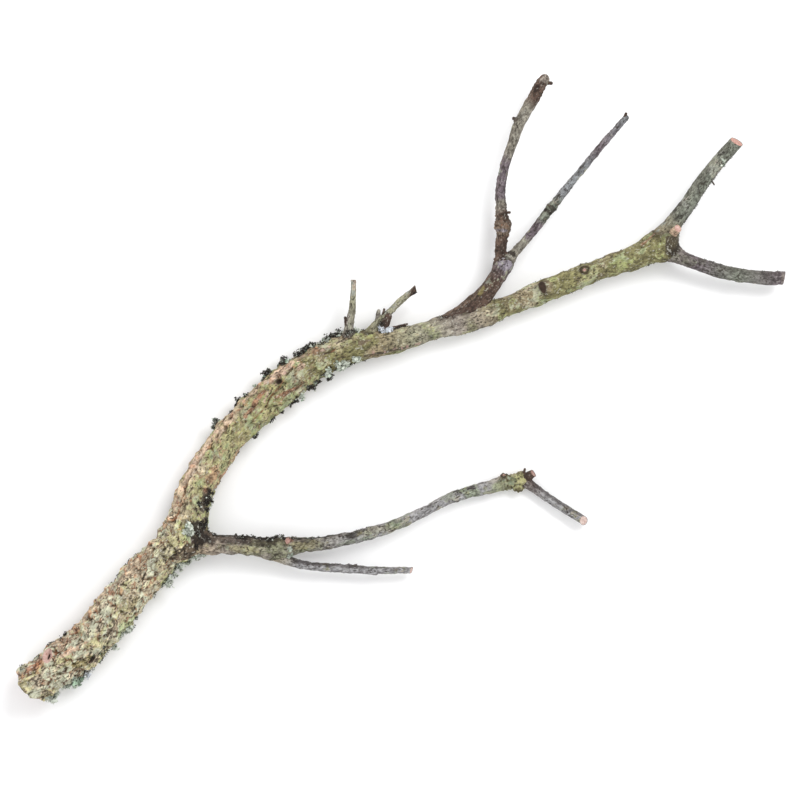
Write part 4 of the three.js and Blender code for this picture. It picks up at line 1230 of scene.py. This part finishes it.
def rgba(hexcode):
    """A hex colour as four numbers, the last for opaque."""
    return (*linear(hexcode), 1.0)


def laid_over(tree, value, low, high, under, over, most=1.0, blend="MIX"):
    """One colour over another: not at all where the value is under low, then a smooth step, and by the
    share called most where it is over high. With MULTIPLY the upper colour is a film that tints."""
    share = node(tree, "MapRange", value, low, high, 0.0, most, **SOFT)
    return node(tree, "Mix", {0: share, 6: under, 7: over}, out=2, data_type="RGBA", blend_type=blend)


def broken(tree, cover, noise_value, strength):
    """A cover whose edge is broken up: the cover plus the strength times (the noise less a half)."""
    value = node(tree, "Attribute", out="Fac", attribute_name=cover)
    shift = node(tree, "Math", noise_value, strength, -0.5 * strength, operation="MULTIPLY_ADD")
    return node(tree, "Math", value, shift, operation="ADD")


def grained(tree, grain, colour, low, high):
    """A colour darkened to low in the hollows of a grain and lightened to high on its tops."""
    dull, bright = (low, low * 0.94, low * 0.9, 1.0), (high, high * 0.98, high * 0.94, 1.0)
    film = laid_over(tree, grain, 0.36, 0.64, dull, bright)
    return node(tree, "Mix", {0: 1.0, 6: colour, 7: film}, out=2, **FILM)


def new_material(name):
    """A new material with an empty node tree."""
    material = bpy.data.materials.new(name)
    material.use_nodes = True
    material.node_tree.nodes.clear()
    return material, material.node_tree


print("the grey of the crust in linear light:", np.round(linear("c1c4ae"), 2))

# %% [markdown]
# ## Bark
# Bark is dead cork: rough and without any gloss. The material stacks what the covers say from the bottom up:
# the bark's own tint, crust lichen in three hues, a green film of algae, rust-brown places where a flake came
# off, painted shade in the hollows and a painted highlight on the highest flakes, painted shade on one side
# of each limb and at the crotches together with the dark of buds and knots, cracks, specks, and bare wood on
# top.
# Films multiply, so the fine grain below them still shows.

# %% Colours of bark and what covers it
OLD_CRUST = ("c1c4ae", "bdb991", "d5c9b2")  # grey-green, yellow-green and cream
FIRM_CRUST = ("a3a48e", "a5a37f", "b0a58f")
TWIG_CRUST = ("8d918a", "8b8c7c", "98938c")
GREEN_FILM = (0.8, 0.9, 0.68, 1.0)  # what the algae leave of the light, in linear red, green and blue
MOTTLE_FILM = (0.48, 0.46, 0.45, 1.0)
# painted shade on one side of each limb and at the crotches, and the dark of buds, stubs and knots
SHADE_AND_DARK_FILM = (0.33, 0.3, 0.3, 1.0)
# painted shade in the hollows of the bark
HOLLOW_SHADE_FILM = (0.27, 0.24, 0.2, 1.0)
TOP_HIGHLIGHT_FILM = (1.25, 1.24, 1.22, 1.0)  # the highest bark is lightened, as a painted highlight
FRESH_FILM = (0.82, 0.6, 0.55, 1.0)  # the pink of wood that was cut not long ago
RUST, CRACK_BROWN, HOLE_BROWN = "9c6647", "3d2e25", "30241c"
DARK_SPECK, PALE_SPECK = "2e2922", "d9d8cc"
WOOD_PALE, WOOD_PINK, WOOD_DARK = "d9c8c0", "be9f96", "8c6f64"
MOST_RUST, MOST_LINE, MOST_CRACK, MOST_SPECK = 0.85, 0.7, 0.66, 0.8  # how opaque each is at most
SPECK_EDGE = 0.09  # how softly a dark speck begins
print("films leave", [round(sum(f[:3]) / 3, 2) for f in (GREEN_FILM, SHADE_AND_DARK_FILM, HOLLOW_SHADE_FILM)], "of the light")


# %% Bark material
def bark_material(name, crust_hues, crust_size, relief, rust, specks, pale_specks, mottle):
    """Bark under crust lichen. crust_size is the size of the lichen's own grains and relief how far the
    fine grain stands out, both in mm. The rest are shares from 0 to 1: rust of red-brown flakes, specks of
    dark grains, pale_specks of pale ones, and mottle of large dull stains."""
    material, tree = new_material(name)
    way = node(tree, "Attribute", out="Vector", attribute_name="way")
    where = node(tree, "VectorMath", way, {"Scale": MM}, operation="SCALE")
    noises = []
    # size in mm, detail and roughness of each noise: for the lichen's hue, for patches, for the lichen's
    # own grains, for grit, for dull stains and for specks
    looks = [(12.0, 2.0, 0.5), (6.0, 3.0, 0.6), (crust_size, 4.0, 0.7)]
    looks += [(1.8, 3.0, 0.75), (4.5, 3.0, 0.65), (1.35, 2.0, 0.5)]
    for size, detail, rough in looks:
        look = {"Vector": where, "Scale": 1 / (size * MM), "Detail": detail, "Roughness": rough}
        noises.append(node(tree, "TexNoise", look))
    slow, patch, middle, fine, stain, speck = noises
    grain = 0.0
    tone = node(tree, "Attribute", out="Fac", attribute_name="tone")
    for part, share in ((fine, 0.45), (middle, 0.35), (patch, 0.2), (tone, 0.07)):
        grain = node(tree, "Math", part, share, grain, operation="MULTIPLY_ADD")

    tint = node(tree, "Attribute", out="Vector", attribute_name="tint")
    colour = grained(tree, grain, tint, 0.42, 1.5)
    crust = laid_over(tree, slow, 0.44, 0.58, rgba(crust_hues[0]), rgba(crust_hues[1]))
    crust = laid_over(tree, patch, 0.5, 0.62, crust, rgba(crust_hues[2]))
    crust = grained(tree, grain, crust, 0.5, 1.3)
    colour = laid_over(tree, broken(tree, "crust", middle, 1.0), 0.35, 0.6, colour, crust)
    green = broken(tree, "algae", middle, 1.0)
    colour = laid_over(tree, green, 0.25, 0.95, colour, GREEN_FILM, 1.0, "MULTIPLY")
    colour = laid_over(tree, stain, 0.5, 0.62, colour, MOTTLE_FILM, mottle, "MULTIPLY")

    # where a flake came off, and the thin lines of broken bark along the middle value of a noise
    flaked = grained(tree, grain, rgba(RUST), 0.55, 1.9)
    colour = laid_over(tree, broken(tree, "lip", patch, 1.0), 0.3, 0.62, colour, flaked, MOST_RUST * rust)
    from_middle = node(tree, "Math", middle, 0.5, operation="SUBTRACT")
    from_middle = node(tree, "Math", from_middle, operation="ABSOLUTE")
    line = node(tree, "MapRange", from_middle, 0.004, 0.03, 1.0, 0.0, **SOFT)
    rusty = node(tree, "MapRange", patch, 0.5, 0.62, 0.0, rust, **SOFT)
    line = node(tree, "Math", line, rusty, operation="MULTIPLY")
    share = node(tree, "Math", line, MOST_LINE, operation="MULTIPLY")
    colour = node(tree, "Mix", {0: share, 6: colour, 7: rgba(CRACK_BROWN)}, out=2, data_type="RGBA")

    # painted shade in the hollows, and a painted highlight on the highest bark
    deep = broken(tree, "hollow", fine, 1.5)
    colour = laid_over(tree, deep, 0.12, 1.3, colour, HOLLOW_SHADE_FILM, 1.0, "MULTIPLY")
    colour = laid_over(tree, deep, -0.1, -1.0, colour, TOP_HIGHLIGHT_FILM, 1.0, "MULTIPLY")
    # painted shade on one side of each limb and at the crotches, with the dark of buds, stubs and knots
    colour = laid_over(tree, broken(tree, "dark", fine, 1.1), 0.15, 0.9, colour, SHADE_AND_DARK_FILM, 1.0, "MULTIPLY")
    filling = laid_over(tree, patch, 0.38, 0.5, rgba(CRACK_BROWN), rgba(RUST))
    colour = laid_over(tree, broken(tree, "crack", fine, 1.4), 0.45, 1.1, colour, filling, MOST_CRACK)

    # specks gather by the patch noise: dark ones at the top of their own noise, pale ones at its foot
    cluster = node(tree, "Math", patch, 0.7, -0.35, operation="MULTIPLY_ADD")
    dark = node(tree, "Math", speck, cluster, operation="ADD")
    low = 0.62 - 0.1 * specks
    colour = laid_over(tree, dark, low, low + SPECK_EDGE, colour, rgba(DARK_SPECK), MOST_SPECK)
    pale = node(tree, "Math", cluster, 0.6, speck, operation="MULTIPLY_ADD")
    colour = laid_over(tree, pale, 0.4, 0.3, colour, rgba(PALE_SPECK), pale_specks)

    wood = laid_over(tree, fine, 0.35, 0.6, rgba(WOOD_PINK), rgba(WOOD_PALE))
    wood = laid_over(tree, middle, 0.52, 0.68, wood, rgba(WOOD_DARK))
    fresh = node(tree, "Attribute", out="Fac", attribute_name="fresh")
    wood = node(tree, "Mix", {0: fresh, 6: wood, 7: FRESH_FILM}, out=2, **FILM)
    bare = node(tree, "Attribute", out="Fac", attribute_name="wood")
    colour = laid_over(tree, bare, 0.2, 0.75, colour, wood)
    inside = laid_over(tree, grain, 0.42, 0.62, rgba(HOLE_BROWN), rgba(CRACK_BROWN))
    hole = node(tree, "Attribute", out="Fac", attribute_name="hole")
    colour = laid_over(tree, hole, 0.2, 0.8, colour, inside)

    height = node(tree, "Math", fine, 0.6, middle, operation="MULTIPLY_ADD")
    height = node(tree, "Math", line, -0.3, height, operation="MULTIPLY_ADD")
    bump = node(tree, "Bump", {"Height": height, "Strength": 0.8, "Distance": relief * MM})
    roughness = node(tree, "Math", fine, 0.2, 0.78, operation="MULTIPLY_ADD")
    look = {"Base Color": colour, "Roughness": roughness, "Normal": bump, "Specular IOR Level": 0.3}
    node(tree, "OutputMaterial", node(tree, "BsdfPrincipled", look))
    return material


MATERIALS = {
    # old cork, split into loose plates: the deepest grain, and rust-brown where plates fell off
    "flaky_bark": bark_material("old_bark_flaky_with_crust_lichen", OLD_CRUST, 3.2, 1.8, 0.65, 0.7, 0.5, 0.1),
    # firm cork, kept damp and so green with algae, with dull stains
    "lichen_bark": bark_material("firm_bark_green_with_algae", FIRM_CRUST, 2.8, 1.0, 0.5, 0.35, 0.35, 0.4),
    # thin skin that hasn't split yet: the smoothest, grey and mottled
    "twig_bark": bark_material("young_bark_smooth_and_dry", TWIG_CRUST, 2.2, 0.7, 0.1, 0.4, 0.2, 0.8),
}
print({key: len(made.node_tree.nodes) for key, made in MATERIALS.items()}, "nodes in each bark")

# %% [markdown]
# ## Lichen
# A leafy lichen is pale and powdery on top, because a fungus's skin covers the green algae inside, and
# nearly black below. The liverwort crumbs are dark brown all over. Both are matt. The lobes have no order
# of their own to follow, so their noise is read in Object coordinates.

# %% Lichen material
MINT, TEAL, FROST, SHADOW = "d6dccf", "8db392", "eef3fa", "362f29"
POWDER = 1.0  # size of the powdery grains in mm


def lichen_material(name):
    """From dark to pale by each lobe's shade. The pale colour is mint, teal or white, by its hue."""
    material, tree = new_material(name)
    where = node(tree, "TexCoord", out="Object")
    look = {"Vector": where, "Scale": 1 / (POWDER * MM), "Detail": 3.0, "Roughness": 0.6}
    grain = node(tree, "TexNoise", look)
    hue = node(tree, "Attribute", out="Fac", attribute_name="hue")
    top = laid_over(tree, hue, 0.3, 0.9, rgba(MINT), rgba(TEAL))
    top = laid_over(tree, hue, -0.3, -0.8, top, rgba(FROST))
    colour = laid_over(tree, broken(tree, "shade", grain, 0.5), 0.15, 0.85, rgba(SHADOW), top)
    bump = node(tree, "Bump", {"Height": grain, "Strength": 0.6, "Distance": 0.4 * MM})
    shader = node(tree, "BsdfPrincipled", {"Base Color": colour, "Roughness": 0.9, "Normal": bump})
    node(tree, "OutputMaterial", shader)
    return material


MATERIALS["lichen"] = lichen_material("leafy_lichen_powdery")
print("lichen:", len(MATERIALS["lichen"].node_tree.nodes), "nodes")

# %% [markdown]
# ## Dress the pieces
# Each bark mesh stands for its solid, takes that solid's finish, and rides on the one body of the branch.

# %% Assign materials, hide the solids and attach each piece to the branch
SLOTS = {"main_stem_base": "flaky_bark", "main_stem_middle": "lichen_bark", "main_stem_upper": "lichen_bark"}
SMALL_GROWTH = ("leafy_lichen", "dark_crumbs")
for name, piece in PIECES.items():
    slot = "lichen_bark" if name in SMALL_GROWTH else SLOTS.get(name, "twig_bark")
    piece.data.materials.append(MATERIALS["lichen" if name in SMALL_GROWTH else slot])
    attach(piece, "root")
    if name not in SMALL_GROWTH:
        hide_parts(name)
print(len(PIECES), "pieces ride on the branch")

# %% [markdown]
# ## Camera
# The picture looks straight down, from far enough that the thick wood hides none of the ground beside it.
# The lens follows from the width that the picture should show at the height of the limbs.

# %% Camera straight above
VIEW_WIDTH = 0.72  # metres across the picture, at the height of the limbs
VIEW_MIDDLE = (-0.00135, -0.01098)
LIMB_HEIGHT = 0.02
CAMERA_HEIGHT = 2.0
SENSOR = 36.0  # width of the film in mm

camera_data = bpy.data.cameras.new("camera")
camera_data.sensor_width = SENSOR
camera_data.lens = SENSOR * (CAMERA_HEIGHT - LIMB_HEIGHT) / VIEW_WIDTH
camera = bpy.data.objects.new("camera", camera_data)
camera.location = (*VIEW_MIDDLE, CAMERA_HEIGHT)
bpy.context.scene.collection.objects.link(camera)
bpy.context.scene.camera = camera
print("lens", round(camera_data.lens, 1), "mm")

# %% [markdown]
# ## Floor
# The branch lies on plain white paper, wide enough that no edge shows, and without any gloss.

# %% Floor
FLOOR_SIZE = 12.0
FLOOR_WHITE = (0.93, 0.93, 0.935, 1.0)
half = FLOOR_SIZE / 2
floor_mesh = bpy.data.meshes.new("floor")
corners = [(-half, -half, 0), (half, -half, 0), (half, half, 0), (-half, half, 0)]
floor_mesh.from_pydata(corners, [], [(0, 1, 2, 3)])
floor = bpy.data.objects.new("floor", floor_mesh)
bpy.context.scene.collection.objects.link(floor)
paper, paper_tree = new_material("white_paper_matt")
look = {"Base Color": FLOOR_WHITE, "Roughness": 1.0, "Specular IOR Level": 0.0}
node(paper_tree, "OutputMaterial", node(paper_tree, "BsdfPrincipled", look))
floor_mesh.materials.append(paper)
floor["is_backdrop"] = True
print("floor", FLOOR_SIZE, "m wide")

# %% [markdown]
# ## Light
# The ground is bright enough to lose its edges. A broad lamp beyond the upper twigs throws soft, pale
# shadows towards the viewer, and the sky is brighter on the butt's side, so the limbs are modelled from
# there.

# %% Light
SKY = 1.02
SKY_LEAN = 0.2  # how much brighter the sky is on one side than overhead
SKY_SIDE = (-0.7, -0.7, 0.0)
LAMP_PLACE = Vector((1.0, 1.2, 1.75))
LAMP_WIDTH = 1.5
LAMP_DEPTH = 0.7
LAMP_POWER = 30.0

world = bpy.data.worlds.new("soft_sky")
world.use_nodes = True
sky = world.node_tree
sky.nodes.clear()
direction = node(sky, "TexCoord", out="Generated")
facing = node(sky, "VectorMath", direction, SKY_SIDE, out="Value", operation="DOT_PRODUCT")
strength = node(sky, "Math", facing, SKY * SKY_LEAN, SKY, operation="MULTIPLY_ADD")
background = node(sky, "Background", {"Color": (1.0, 1.0, 1.0, 1.0), "Strength": strength})
node(sky, "OutputWorld", background)
bpy.context.scene.world = world

lamp_data = bpy.data.lights.new("softbox", "AREA")
lamp_data.shape = "RECTANGLE"
lamp_data.size = LAMP_WIDTH
lamp_data.size_y = LAMP_DEPTH
lamp_data.energy = LAMP_POWER
lamp = bpy.data.objects.new("softbox", lamp_data)
lamp.location = LAMP_PLACE
lamp.rotation_euler = (-LAMP_PLACE).to_track_quat("-Z", "Y").to_euler()
bpy.context.scene.collection.objects.link(lamp)
bpy.context.scene.view_settings.view_transform = "Standard"
print("sky", SKY, "lamp", LAMP_POWER, "W")

# %% Print the sizes and finish
both = {"cad": [list(c) for c in cad_box], "visual": [list(c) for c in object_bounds()]}
for kind, box in both.items():
    print(kind, np.round(box, 3).tolist())
